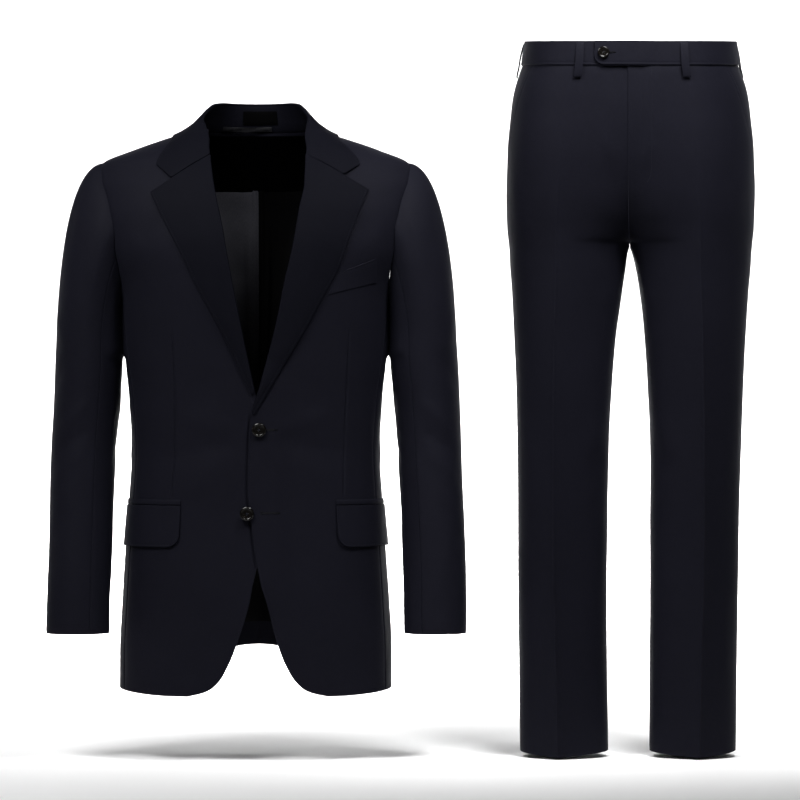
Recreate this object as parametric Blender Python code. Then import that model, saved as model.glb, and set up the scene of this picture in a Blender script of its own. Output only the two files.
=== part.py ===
# A two piece suit: a two button jacket and flat front trousers, each filled out hollow as when worn.
# Metres, +Z up, front towards -Y, viewer's right towards +X, the origin between the shoulders.
import bpy
import numpy as np

MM = 0.001

# Cloth and seams
WALL = 2.2 * MM
THIN_WALL = 1.6 * MM
SEAM_HALF = 0.15 * MM
LAY_GAP = 1.0 * MM

# Jacket sizes
HEM_FRONT = -797 * MM
HEM_SIDE = -790.5 * MM
HEM_BACK = -737 * MM
HEM_TURN = 48
HEM_TURN_RUN = 42
BACK_HEM_TURN = 80
BACK_HEM_RUN = 100
WAIST_LEVEL = -454 * MM
ARMHOLE_CENTRE = -144 * MM
ARMHOLE_HALF_HEIGHT = 97 * MM
ARMHOLE_FRONT_DEPTH = 70 * MM
ARMHOLE_BACK_DEPTH = 66 * MM
JOIN_LEVEL = -290 * MM
FRONT_SEAM_TAU = 155.0
BACK_SEAM_TAU = 130.0
FRONT_SEAM_ANGLES = (75.0, 76.0)
BACK_SEAM_ANGLES = (109.0, 110.0)
LAP_LIFT = 3.4 * MM
LAP_INNER_X = 26 * MM
LAP_OUTER_X = 60 * MM
LAP_TOP = -325 * MM
LAP_TOP_RUN = 40 * MM
LAP_FOOT = -690 * MM
LAP_FOOT_RUN = 60 * MM
SLEEVE_RING_TOP = -300 * MM
SLEEVE_END = -711 * MM
SLEEVE_START = 0.5 * MM
SLEEVE_MIDDLE = 240 * MM

# The direction in which the sleeve leaves the armhole, outwards and upwards, as shares of its reach
LEAVE_TOP = (0.58, -0.06)
LEAVE_UNDER = (0.1, -0.55)
LEAVE_SIDE = 0.16
ARRIVE_OUT = 0.02

# How the armhole narrows towards the shoulder, as shares of its depth
ARMHOLE_NARROW = 0.28
ARMHOLE_POINT = 0.35

# Lapels and collar
LAPEL_BELLY = 2.5 * MM
LAPEL_BELLY_SHARE = 0.25
COLLAR_GAP = 1.6 * MM
COLLAR_BELLY = 3.0 * MM
COLLAR_SEAM = 1.0 * MM
COLLAR_SHIFT = 5 * MM
COLLAR_LENGTH = 1000 * MM
COLLAR_TURN = 700 * MM
COLLAR_FRONT = 740 * MM
COLLAR_SIDE_ANGLE = 88
GORGE_CORNER_X = 119.5 * MM
GORGE_SHARE = 0.68
STAND_END = 86.0
STAND_FOOT = 0.5 * MM
STAND_DROP = 0.6 * MM

# Lining, label and hanger loop inside the back. Angles are measured round the form from the front middle.
LINING_GAP = 1.0 * MM
LINING_WALL = 1.0 * MM
LINING_FOOT = -760 * MM
YOKE_SEAM = -88 * MM
YOKE_LAP = 5 * MM
LABEL_GAP = 0.5 * MM
LABEL_ANGLES = (155, 198)
LABEL_HEIGHTS = (12.5 * MM, 31 * MM)
HANGER_GAP = 0.6 * MM
HANGER_ANGLES = (163, 222)
HANGER_HEIGHTS = (3 * MM, 9 * MM)
HANGER_BOW = 2.5 * MM
HANGER_COLUMNS = 10

# Hip pockets: the flap's front end on each side, and its sizes
FLAP_FRONT = {1: 115 * MM, -1: 101.5 * MM}
FLAP_TOP = -531 * MM
FLAP_BOTTOM = -589 * MM
FLAP_LENGTH = 155 * MM
FLAP_CORNER = 18 * MM
FLAP_KICK = 0.8 * MM
JET_TOP = -523 * MM
JET_BOTTOM = -529.5 * MM
JET_END = 3 * MM

# Breast welt: its corners, distance from the middle and height
WELT_TOP = ((120 * MM, -206 * MM), (171 * MM, -185 * MM))
WELT_BOTTOM = ((104 * MM, -237 * MM), (171 * MM, -219 * MM))

# Where the buttons sit: distance to the viewer's right and height
TOP_BUTTON = (8.3 * MM, -425 * MM)
LOW_BUTTON = (-8.4 * MM, -542 * MM)
BUTTON_SEAT = 0.4 * MM
BAND_BUTTON_SCALE = 0.82

# Trousers sizes
TROUSERS_X = 531 * MM
WAIST_TOP = 126 * MM
WAIST_SEAM = 92.3 * MM
TROUSER_HEM = -880 * MM
HEM_DIP = 6 * MM
HEM_DIP_SHARE = 0.45
HEM_DIP_TOP = -700 * MM
HEM_DIP_RUN = 180 * MM
WAIST_DIP = 9 * MM
WAIST_DIP_FOOT = -60 * MM
WAIST_DIP_RUN = 120 * MM
FRONT_SKEW = -9 * MM
FRONT_SKEW_DEPTH = 115 * MM
POCKET_BOTTOM = -85 * MM
LOOP_WIDTH = 11 * MM
LOOP_TOP = 124 * MM
LOOP_BOTTOM = 75 * MM
LOOP_REST = 1.5 * MM
LOOP_STAND = 3.0 * MM
CROTCH_SPACE = 0.25 * MM
ROUND = 0.56
FORK_ROUND = 0.45
POCKET_SHARE = 0.21
POCKET_SINK = 0.5 * MM
FACING_FOOT = 12 * MM
BAND_GAP = 0.3 * MM
BAND_LIFT = 1.0 * MM
TAB_LIFT = 3.4 * MM
TAB_END = -56 * MM
TAB_FADE = 30 * MM
TAB_CORNER = 15 * MM
TAB_BUTTON = (-43.2 * MM, 109.4 * MM)


def table(columns, *rows):
    """Named columns from rows of millimetres, in rising order of the first column."""
    values = np.array(sorted(rows), dtype=float)
    return {name: values[:, i] * MM for i, name in enumerate(columns.split())}


def smooth(x, xs, ys):
    """A curve through the points that never overshoots them: cubic pieces with limited slopes."""
    step = np.diff(xs)
    slope = np.diff(ys) / step
    product = slope[:-1] * slope[1:]
    total = slope[:-1] + slope[1:]
    inner = np.where(product > 0, 2 * product / np.where(total == 0, 1, total), 0)
    tangent = np.concatenate([slope[:1], inner, slope[-1:]])
    x = np.clip(x, xs[0], xs[-1])
    i = np.clip(np.searchsorted(xs, x, side="right") - 1, 0, len(step) - 1)
    h = step[i]
    t = (x - xs[i]) / h
    return ((2 * t**3 - 3 * t**2 + 1) * ys[i] + (t**3 - 2 * t**2 + t) * h * tangent[i]
            + (3 * t**2 - 2 * t**3) * ys[i + 1] + (t**3 - t**2) * h * tangent[i + 1])


def ease(t):
    """0 to 1 with level ends."""
    t = np.clip(t, 0, 1)
    return t * t * (3 - 2 * t)


# The jacket's form, a section at each height. Round is the roundness power times 1000 of each half.
TORSO = table(
    "height half front back front_round back_round",
    (-800, 193, 122, 122, 2300, 2300),
    (-738, 193, 122, 123, 2300, 2300),
    (-667, 189.5, 122, 122, 2300, 2300),
    (-596, 185, 121, 117, 2300, 2300),
    (-525, 180, 119, 110, 2300, 2300),
    (-454, 176, 118, 104, 2300, 2200),
    (-383, 179, 121, 106, 2300, 2200),
    (-327, 185, 125, 111, 2300, 2200),
    (-270, 189.5, 130, 117, 2300, 2200),
    (-241, 191.5, 132, 119, 2300, 2200),
    (-220, 197, 133, 120, 2250, 2200),
    (-200, 207, 133.5, 120.5, 2200, 2200),
    (-170, 221, 132, 120, 2200, 2200),
    (-124, 230, 122, 115, 2200, 2200),
    (-85, 231, 106, 106, 2100, 2100),
    (-60, 224, 90, 98, 2000, 2000),
    (-47, 217, 79, 93, 1950, 1900),
    (-28, 172, 64, 86, 1900, 1800),
    (-14, 131, 51, 80, 1900, 1800),
    (-4, 102, 42, 76, 1900, 1800),
    (8, 83, 32, 71, 1900, 1900),
    (22, 72.5, 26, 68, 2000, 2000),
    (45, 60, 24, 66, 2000, 2000))

# Where the two front edges run: height against distance to the viewer's right of the middle.
OVER_EDGE = table(
    "height x",
    (20, 70), (-37, 71.5), (-81, 70.5), (-115, 64), (-172, 54.5), (-213, 45), (-282, 30.8), (-360, 10),
    (-408, -2.8), (-449, -5.6), (-506, -7), (-527, -5.6), (-568, -0.7), (-610, 5.2), (-641, 11.2),
    (-668, 19.5), (-717, 32), (-745, 41.7), (-759, 48.4), (-773, 57), (-787, 71.2), (-792.4, 83.5),
    (-797, 104))
UNDER_EDGE = table(
    "height x",
    (20, -66), (-37, -61.6), (-90, -53.5), (-137, -43.1), (-185, -34.4), (-286, -15.1), (-372, 2.8),
    (-420, 13), (-470, 17), (-520, 17), (-570, 13), (-616, 5.6), (-641, -0.5), (-668, -5.5),
    (-717, -20.4), (-745, -30.8), (-759, -37.5), (-773, -45.5), (-787, -60), (-792.4, -72.3), (-797, -92))

# The sleeves' sections: outer and inner sides, half their depth and how far forward their middle hangs.
SLEEVE = table(
    "height left_outer left_inner right_outer right_inner half_depth forward",
    (-300, 285, 190.5, 283, 189, 69, 2), (-327, 286.5, 190.3, 284.3, 189, 68, 3),
    (-383, 289.2, 196, 286.3, 192.5, 64, 6), (-440, 291.5, 200, 289, 197, 59, 12),
    (-497, 293, 203.5, 290.2, 199.5, 55, 22), (-568, 296, 207.5, 290.8, 201.5, 51, 35),
    (-640, 298, 210, 292, 203.3, 48, 48), (-711, 298.3, 210, 293.5, 203.8, 46.5, 60))

# The trousers' form above and below the crotch.
LEGS = table(
    "height outer inner front back middle_front middle_back crease_in",
    (125, 150.5, 0, 112, 110, 112, 110, 76), (92.3, 154, 0, 114, 116, 114, 116, 78),
    (78, 157.6, 0, 115, 119, 115, 119, 80), (42.6, 165.7, 0, 116, 127, 116, 127, 84),
    (14, 169, 0, 116, 132, 115, 132, 88), (-28, 173, 0, 115, 136, 111, 135, 92),
    (-85, 174.3, 0, 110, 137, 97, 125, 97), (-120, 173.4, 0, 105, 134, 80, 106, 100),
    (-142, 172.5, 0, 101, 131, 60, 80, 101), (-156, 171, 0, 99, 128, 36, 50, 101),
    (-165, 170, 0, 98, 126, 0, 0, 101), (-172, 169.4, 2.5, 97, 124, 0, 0, 101),
    (-192, 168.6, 7.8, 95, 121, 0, 0, 101), (-227, 166, 14, 92, 116, 0, 0, 102),
    (-284, 163, 21.2, 89, 109, 0, 0, 104), (-355, 160, 27, 86, 102, 0, 0, 105),
    (-440, 157.6, 31.4, 82, 95, 0, 0, 106), (-532, 155.5, 32.6, 78, 89, 0, 0, 106),
    (-639, 154, 32.5, 74, 85, 0, 0, 105), (-745, 152.3, 32, 72, 82, 0, 0, 102),
    (-880, 150.5, 30.5, 71, 80, 0, 0, 99))

# How much wider each leg hangs than that form: outwards, and inwards towards the other leg.
LEG_TRIM = table(
    "height left_outer left_inner right_outer right_inner",
    (126, 0, 0, -2.5, 0), (92, 0.5, 0, -1, 0), (60, 3.5, 0, 1, 0), (-60, 3.5, 0, 0.5, 0),
    (-120, 3.5, 0, 1.5, 0), (-165, 3.5, 0, 1.5, 0), (-200, 3, 0, 1.5, 3.2),
    (-240, 2.5, 0.3, 1.5, 3.8), (-300, 1.8, 1.5, 1.5, 2.5),
    (-350, 1.5, 2, 1.5, 2.4), (-450, 0.8, 2.8, 2.2, 2.2), (-560, 0, 4, 3.8, 1.2), (-660, 0, 4, 5, 0),
    (-700, 0, 4, 5.2, 0), (-880, 0, 3, 5.5, 0))

# How sharply the legs are pressed, as a share of the depth, at each height.
CREASE = table("height front back", (125, 0, 0), (20, 0, 0), (-85, 60, 0), (-200, 200, 120),
               (-400, 300, 280), (-880, 340, 340))

# Lapels: the outer edge of each, height against distance from the middle.
OVER_LAPEL = table("height x", (-89.4, 159.7), (-108, 151.4), (-160, 132), (-200, 118), (-234.5, 99),
                   (-283, 73), (-345, 36), (-404, 1.5))
UNDER_LAPEL = table("height x", (-93.8, 143.8), (-129.4, 126.2), (-181.6, 98.9), (-227.6, 76.5),
                    (-286, 44.4), (-340, 19), (-392, -5.5))
OVER_GORGE_TOP = (71.5 * MM, -38.5 * MM)
UNDER_GORGE_TOP = (62.6 * MM, -39.5 * MM)

# The break of each roll line: the height of its inner and its outer end.
OVER_BREAK = (-402 * MM, -402 * MM)
UNDER_BREAK = (-372 * MM, -376 * MM)

# The collar's fold and outer edge, from the middle of the back round to the front: height and angle.
COLLAR = table(
    "station fold_height fold_angle edge_height edge_angle",
    (0, 41.5, 180, -9, 180), (180, 41.5, 160, -9, 162), (360, 41.5, 138, -9, 138), (520, 39, 115, -9, 110),
    (640, 28, 95, -9, 90), (760, 8, 78, -17, 77), (880, -16, 56, -33, 70.5), (1000, -37.5, 45, -54, 65.5))


def torso(height, angle):
    """A point of the jacket's form. The angle runs from the front middle, 0, to the back middle, 180."""
    turn = np.radians(angle)
    sx = np.sin(turn)
    sy = -np.cos(turn)
    half = smooth(height, TORSO["height"], TORSO["half"])
    in_front = sy < 0
    depth = np.where(in_front, smooth(height, TORSO["height"], TORSO["front"]),
                     smooth(height, TORSO["height"], TORSO["back"]))
    power = np.where(in_front, smooth(height, TORSO["height"], TORSO["front_round"]),
                     smooth(height, TORSO["height"], TORSO["back_round"])) / MM / 1000
    reach = (np.abs(sx / half)**power + np.abs(sy / depth)**power)**(-1 / power)
    return np.stack([reach * sx, reach * sy, height + 0 * sx], axis=-1)


def torso_normal(height, angle):
    """The outward direction of the form, from two small steps along it."""
    step_h = 0.4 * MM
    step_a = 0.3
    along = torso(height, angle + step_a) - torso(height, angle - step_a)
    up = torso(height + step_h, angle) - torso(height - step_h, angle)
    normal = np.cross(along, up)
    return normal / np.linalg.norm(normal, axis=-1, keepdims=True)


def front_angle(x, height):
    """The angle on the form's front at a distance x to the side of the middle."""
    half = smooth(height, TORSO["height"], TORSO["half"])
    depth = smooth(height, TORSO["height"], TORSO["front"])
    power = smooth(height, TORSO["height"], TORSO["front_round"]) / MM / 1000
    share = np.clip(np.abs(x) / half, 0, 0.9999)
    y = depth * (1 - share**power)**(1 / power)
    return np.degrees(np.arctan2(x, y))


def depth_angle(y, height):
    """The angle on the viewer's right side of the form at a depth y."""
    half = smooth(height, TORSO["height"], TORSO["half"])
    behind = y > 0
    depth = np.where(behind, smooth(height, TORSO["height"], TORSO["back"]),
                     smooth(height, TORSO["height"], TORSO["front"]))
    power = np.where(behind, smooth(height, TORSO["height"], TORSO["back_round"]),
                     smooth(height, TORSO["height"], TORSO["front_round"])) / MM / 1000
    x = half * (1 - np.clip(np.abs(y) / depth, 0, 1)**power)**(1 / power)
    return np.degrees(np.arctan2(x, -y))


def armhole(tau):
    """Height and depth on the armhole: tau 0 at the shoulder, 90 in front, 180 under the arm, 270 behind."""
    turn = np.radians(tau)
    c = np.cos(turn)
    s = np.sin(turn)
    narrow = 1 - ARMHOLE_NARROW * np.maximum(c, 0) - ARMHOLE_POINT * np.maximum(c, 0)**4
    depth = np.where(s > 0, ARMHOLE_FRONT_DEPTH, ARMHOLE_BACK_DEPTH)
    return ARMHOLE_CENTRE + ARMHOLE_HALF_HEIGHT * c, -depth * s * narrow


def hem_height(angle):
    """The jacket's hem: level in front, a little higher at the side, rising to the middle of the back."""
    a = np.abs(angle)
    side = HEM_FRONT + (HEM_SIDE - HEM_FRONT) * ease((a - HEM_TURN) / HEM_TURN_RUN)
    return side + (HEM_BACK - HEM_SIDE) * ease((a - BACK_HEM_TURN) / BACK_HEM_RUN)


def toward_hem(level, angle):
    """A row's height: level at the waist, following the hem at the bottom."""
    share = np.clip((WAIST_LEVEL - level) / (WAIST_LEVEL - HEM_FRONT), 0, 1)
    return level + share * (hem_height(angle) - HEM_FRONT)


def quads_of(number):
    """The four cornered faces between the rows and columns of a grid of point numbers."""
    corners = [number[:-1, :-1], number[:-1, 1:], number[1:, 1:], number[1:, :-1]]
    return np.stack(corners, axis=-1).reshape(-1, 4)


def shell(name, outer, inner):
    """One closed wall between two grids of points of the same size."""
    rows, cols = outer.shape[:2]
    points = np.concatenate([outer.reshape(-1, 3), inner.reshape(-1, 3)])
    count = rows * cols
    number = np.arange(count).reshape(rows, cols)
    quads = quads_of(number)
    border = [number[0], number[1:, -1], number[-1, -2::-1], number[-2:0:-1, 0], number[0, :1]]
    border = np.concatenate(border)
    a = border[:-1]
    b = border[1:]
    rim = np.stack([b, a, a + count, b + count], axis=-1)
    faces = np.concatenate([quads, quads[:, [2, 1, 0, 3]] + count, rim])
    faces = np.concatenate([faces[:, [0, 1, 2]], faces[:, [0, 2, 3]]])
    return add_piece(name, points, outwards(points, faces))


def outwards(points, faces):
    """The same triangles, all facing out of the solid that they close."""
    corner = points[faces]
    volume = np.sum(corner[:, 0] * np.cross(corner[:, 1], corner[:, 2]))
    return faces[:, ::-1] if volume < 0 else faces


def trim(grid, first, last, top_row, bottom_row):
    """Draw the edges of a grid in by half a seam. First and last are its end columns."""
    out = grid.copy()
    edges = ((first, (slice(None), 0), (slice(None), 1)),
             (last, (slice(None), -1), (slice(None), -2)),
             (bottom_row, (0,), (1,)),
             (top_row, (-1,), (-2,)))
    for flag, edge, next_in in edges:
        if flag:
            step = grid[next_in] - grid[edge]
            length = np.linalg.norm(step, axis=-1, keepdims=True)
            out[edge] += flag * SEAM_HALF * step / np.maximum(length, 1e-9)
    return out


# Which edges of a grid are drawn in by half a seam: first column, last column, top row, bottom row.
NO_EDGES = (0, 0, 0, 0)
BOTH_SIDES = (1, 1, 0, 0)
FIRST_SIDE = (1, 0, 0, 0)
SIDES_AND_TOP = (1, 1, 1, 0)


def wall(name, grid, normal, lift=0.0, thickness=WALL, edges=BOTH_SIDES):
    """A piece of cloth whose outer face is the grid moved out by lift."""
    lift = np.asarray(lift) * np.ones(grid.shape[:2])
    grid = trim(grid, *edges)
    return shell(name, grid + normal * lift[..., None], grid + normal * (lift - thickness)[..., None])


def add_piece(name, points, faces):
    """A mesh object of its own, with its own material."""
    mesh = bpy.data.meshes.new(name)
    mesh.from_pydata(points.tolist(), [], faces.tolist())
    mesh.validate()
    piece = bpy.data.objects.new(name, mesh)
    bpy.context.collection.objects.link(piece)
    piece.data.materials.append(finish_of(name))
    return piece


# Colour, roughness and metallic value of each finish.
FINISHES = {
    "wool": ((0.012, 0.013, 0.024, 1), 0.75, 0.0),
    "satin": ((0.045, 0.047, 0.055, 1), 0.35, 0.0),
    "horn": ((0.02, 0.016, 0.012, 1), 0.2, 0.0),
    "tape": ((0.03, 0.03, 0.035, 1), 0.5, 0.0)}
FINISH_WORDS = (("button", "horn"), ("label", "tape"), ("hanger", "satin"), ("lining", "satin"))


def finish_of(name):
    """A material of the piece's own, with the finish that its name asks for."""
    finish = next((value for word, value in FINISH_WORDS if word in name), "wool")
    colour, roughness, metallic = FINISHES[finish]
    material = bpy.data.materials.new(name + "_" + finish)
    material.use_nodes = True
    shader = material.node_tree.nodes["Principled BSDF"]
    shader.inputs["Base Color"].default_value = colour
    shader.inputs["Roughness"].default_value = roughness
    shader.inputs["Metallic"].default_value = metallic
    return material


def lap_lift(x, height):
    """How far the upper front stands out where it lies over the under front."""
    across = ease((LAP_OUTER_X - x) / (LAP_OUTER_X - LAP_INNER_X))
    below_break = ease((LAP_TOP - height) / LAP_TOP_RUN)
    above_hem = ease((height - LAP_FOOT) / LAP_FOOT_RUN)
    return LAP_LIFT * across * below_break * above_hem


LOWER_LEVELS = (-794, -786, -773, -748, -705, -655, -605, -550, -500, -454, -408, -372, -330)
SHOULDER_LEVELS = (-38, -29, -19, -9, 0)
JOIN_STEPS = 3


def levels_between(start, end):
    """Rows from one level up to another, the end left out."""
    return start + (end - start) * np.arange(JOIN_STEPS) / JOIN_STEPS


def seam_angle(height, top_height, top_angle, waist_angle, hem_angle):
    """A long seam's angle from its top at the armhole, past the waist, down to the hem."""
    levels = np.array([HEM_FRONT, WAIST_LEVEL, top_height])
    return smooth(height, levels, np.array([hem_angle, waist_angle, top_angle]))


# Where the rows of the panels meet the armhole: up the front, under the arm and up the back.
FRONT_TAUS = np.linspace(0, FRONT_SEAM_TAU, 9)
UNDER_TAUS = np.concatenate([np.linspace(FRONT_SEAM_TAU, 180, 3),
                             np.linspace(180, 360 - BACK_SEAM_TAU, 4)[1:]])
BACK_TAUS = np.linspace(360 - BACK_SEAM_TAU, 360, 8)


def armhole_top(tau):
    """Height and angle where a long seam meets the armhole."""
    height, y = armhole(np.array(tau))
    return float(height), float(depth_angle(y, height))


FRONT_SEAM_TOP = armhole_top(FRONT_SEAM_TAU)
BACK_SEAM_TOP = armhole_top(-BACK_SEAM_TAU)


def front_seam_angle(height):
    """The seam between the front and the side body."""
    return seam_angle(height, *FRONT_SEAM_TOP, *FRONT_SEAM_ANGLES)


def back_seam_angle(height):
    """The seam between the side body and the back."""
    return seam_angle(height, *BACK_SEAM_TOP, *BACK_SEAM_ANGLES)


FRONT_ACROSS = np.linspace(0, 1, 11)**0.9


def front_panel(name, side, edge):
    """Front, from its front edge and roll line to the side seam, the armhole and the shoulder seam."""
    taus = FRONT_TAUS[::-1]
    rows_up, depth = armhole(taus)
    levels = np.concatenate([np.array(LOWER_LEVELS) * MM, levels_between(JOIN_LEVEL, rows_up[0]), rows_up,
                             np.array(SHOULDER_LEVELS) * MM])
    joined = len(LOWER_LEVELS) + JOIN_STEPS
    end = np.full(len(levels), 90.0)
    end[:joined] = front_seam_angle(levels[:joined])
    end[joined:joined + len(taus)] = depth_angle(depth, rows_up)
    start = side * front_angle(smooth(levels, edge["height"], edge["x"]), levels)
    across = FRONT_ACROSS
    angle = side * (start[:, None] + (end - start)[:, None] * across)
    height = toward_hem(levels[:, None], angle)
    grid = torso(height, angle)
    lift = lap_lift(grid[..., 0], height) if edge is OVER_EDGE else 0.0
    return wall(name, grid, torso_normal(height, angle), lift, edges=(0, 1, 1, 0))


def side_panel(name, side):
    """Side body under the arm, between the front's seam and the back's seam."""
    taus = UNDER_TAUS
    top, depth = armhole(taus)
    top_angle = depth_angle(depth, top)
    levels = np.array(LOWER_LEVELS) * MM
    share = np.linspace(0, 1, len(taus))
    angle = front_seam_angle(levels)[:, None] * (1 - share) + back_seam_angle(levels)[:, None] * share
    height = levels[:, None] + 0 * angle
    join = np.arange(JOIN_STEPS + 1)[:, None] / JOIN_STEPS
    join_height = JOIN_LEVEL + (top - JOIN_LEVEL) * join
    front_end = front_seam_angle(join_height[:, :1])
    back_end = back_seam_angle(join_height[:, -1:])
    low = front_end * (1 - share) + back_end * share
    even = top_angle[0] * (1 - share) + top_angle[-1] * share
    join_angle = low + (top_angle - even) * ease(join)
    angle = np.concatenate([angle, join_angle])
    height = np.concatenate([height, join_height])
    height = toward_hem(height, angle)
    angle = side * angle
    return wall(name, torso(height, angle), torso_normal(height, angle), edges=SIDES_AND_TOP)


def back_rows():
    """The levels of the back's rows and the angle where each begins at the side."""
    rows_up, depth = armhole(BACK_TAUS)
    levels = np.concatenate([np.array(LOWER_LEVELS) * MM, levels_between(JOIN_LEVEL, rows_up[0]), rows_up,
                             np.array(SHOULDER_LEVELS) * MM])
    joined = len(LOWER_LEVELS) + JOIN_STEPS
    start = np.full(len(levels), 90.0)
    start[:joined] = back_seam_angle(levels[:joined])
    start[joined:joined + len(BACK_TAUS)] = depth_angle(depth, rows_up)
    return levels, start


BACK_ACROSS = np.linspace(0, 1, 8)


def back_panel(name, side):
    """Back, from its side seam, the armhole and the shoulder seam to the middle of the back."""
    levels, start = back_rows()
    angle = side * (start[:, None] + (180 - start)[:, None] * BACK_ACROSS)
    height = toward_hem(levels[:, None], angle)
    return wall(name, torso(height, angle), torso_normal(height, angle), edges=SIDES_AND_TOP)


def sleeve(tau, row, word):
    """A point of a sleeve, drawn on the viewer's right. Row runs 0 to 1 from the armhole to the first level
    ring, as a curve that leaves the armhole outwards and ends downwards, then 1 to 2 down the arm."""
    turn = np.radians(tau)
    c = np.cos(turn)
    s = np.sin(turn)
    level = SLEEVE_RING_TOP + (SLEEVE_END - SLEEVE_RING_TOP) * np.clip(row - 1, 0, 1)
    outer = smooth(level, SLEEVE["height"], SLEEVE[word + "_outer"])
    inner = smooth(level, SLEEVE["height"], SLEEVE[word + "_inner"])
    ring = np.stack([(outer + inner) / 2 + (outer - inner) / 2 * c,
                     -smooth(level, SLEEVE["height"], SLEEVE["forward"])
                     - smooth(level, SLEEVE["height"], SLEEVE["half_depth"]) * s, level], axis=-1)
    height, y = armhole(tau)
    angle = depth_angle(y, height)
    start = torso(height, angle) + np.stack([0 * c + SLEEVE_START, 0 * c, 0 * c], axis=-1)
    reach = np.linalg.norm(ring - start, axis=-1)
    top = (1 + c) / 2
    under = 1 - top
    leave = np.stack([LEAVE_TOP[0] * top + LEAVE_UNDER[0] * under, -LEAVE_SIDE * s,
                      LEAVE_TOP[1] * top + LEAVE_UNDER[1] * under], axis=-1) * reach[..., None]
    arrive = np.stack([ARRIVE_OUT * top, 0 * c, 0 * c - 1], axis=-1) * reach[..., None]
    t = np.clip(row, 0, 1)[..., None]
    cap = ((2 * t**3 - 3 * t**2 + 1) * start + (t**3 - 2 * t**2 + t) * leave
           + (3 * t**2 - 2 * t**3) * ring + (t**3 - t**2) * arrive)
    return np.where((row > 1)[..., None], ring, cap)


def outward(surface, a, b, step_a, step_b):
    """The direction at right angles to a surface of two parameters, from small steps along it."""
    along = surface(a + step_a, b) - surface(a - step_a, b)
    up = surface(a, b + step_b) - surface(a, b - step_b)
    normal = np.cross(along, up)
    return normal / np.maximum(np.linalg.norm(normal, axis=-1, keepdims=True), 1e-12)


FORE_SEAM_COLUMN = 6
SLEEVE_ROWS = np.array([0, 0.06, 0.13, 0.21, 0.31, 0.43, 0.56, 0.7, 0.85, 1, 1.15, 1.33, 1.51, 1.69, 1.86, 2])


def mirrored(grid, side):
    """The grid on the viewer's right, side 1, or on the viewer's left, side -1."""
    return grid * np.array([side, 1, 1])


def sleeve_piece(name, side, word, taus):
    """One piece of a sleeve between its two long seams."""
    tau, row = np.meshgrid(taus, SLEEVE_ROWS)
    grid = sleeve(tau, row, word)
    inner_row = np.clip(row, 0.01, 1.99)
    normal = outward(lambda a, b: sleeve(a, b, word), tau, inner_row, 0.5, 0.005)
    middle = np.stack([SLEEVE_MIDDLE + 0 * tau, 0 * tau, grid[..., 2]], axis=-1)
    normal = normal * np.sign(np.sum(normal * (grid - middle), axis=-1).mean())
    return wall(name, mirrored(grid, side), mirrored(normal, side), edges=BOTH_SIDES)


def sleeves():
    """Top sleeve over the shoulder and under sleeve beneath the arm, on each side."""
    top_taus = np.concatenate([BACK_TAUS - 360, FRONT_TAUS[1:FORE_SEAM_COLUMN + 1]])
    under_taus = np.concatenate([FRONT_TAUS[FORE_SEAM_COLUMN:-1], UNDER_TAUS])
    for side, word in ((1, "left"), (-1, "right")):
        sleeve_piece("sleeve_top_" + word, side, word, top_taus)
        sleeve_piece("sleeve_under_" + word, side, word, under_taus)


def laid(name, height, angle, gap, thickness=THIN_WALL, edges=NO_EDGES):
    """A piece that lies on the jacket, made from the form's own points and moved out by a gap."""
    grid = torso(height, angle)
    return wall(name, grid, torso_normal(height, angle), gap + thickness, thickness, edges)


def lapel(name, side, outer, gorge_top, roll, foot):
    """Lapel, in rows from the break of the roll line up to the gorge, each from the roll outwards."""
    up = np.linspace(0, 1, 13)[:, None]
    across = np.linspace(0, 1, 6)
    tip_height = outer["height"][-1]
    roll_height = foot[0] + (gorge_top[1] - foot[0]) * up
    edge_height = foot[1] + (tip_height - foot[1]) * up
    roll_x = side * smooth(roll_height, roll["height"], roll["x"])
    edge_x = smooth(edge_height, outer["height"], outer["x"])
    x = roll_x + (edge_x - roll_x) * across
    height = roll_height + (edge_height - roll_height) * across
    angle = side * front_angle(x, height)
    lift = lap_lift(side * x, height) if side > 0 else 0 * x
    belly = LAPEL_BELLY * np.sin(np.pi * across) * ease(up / LAPEL_BELLY_SHARE)
    return laid(name, height, angle, LAY_GAP + lift + belly)


def gorge_line(x, side):
    """The height of the seam between collar and lapel at a distance x from the middle."""
    top = OVER_GORGE_TOP if side > 0 else UNDER_GORGE_TOP
    outer = OVER_LAPEL if side > 0 else UNDER_LAPEL
    slope = (outer["height"][-1] - top[1]) / (outer["x"][-1] - top[0])
    return top[1] + slope * (x - top[0])


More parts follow.
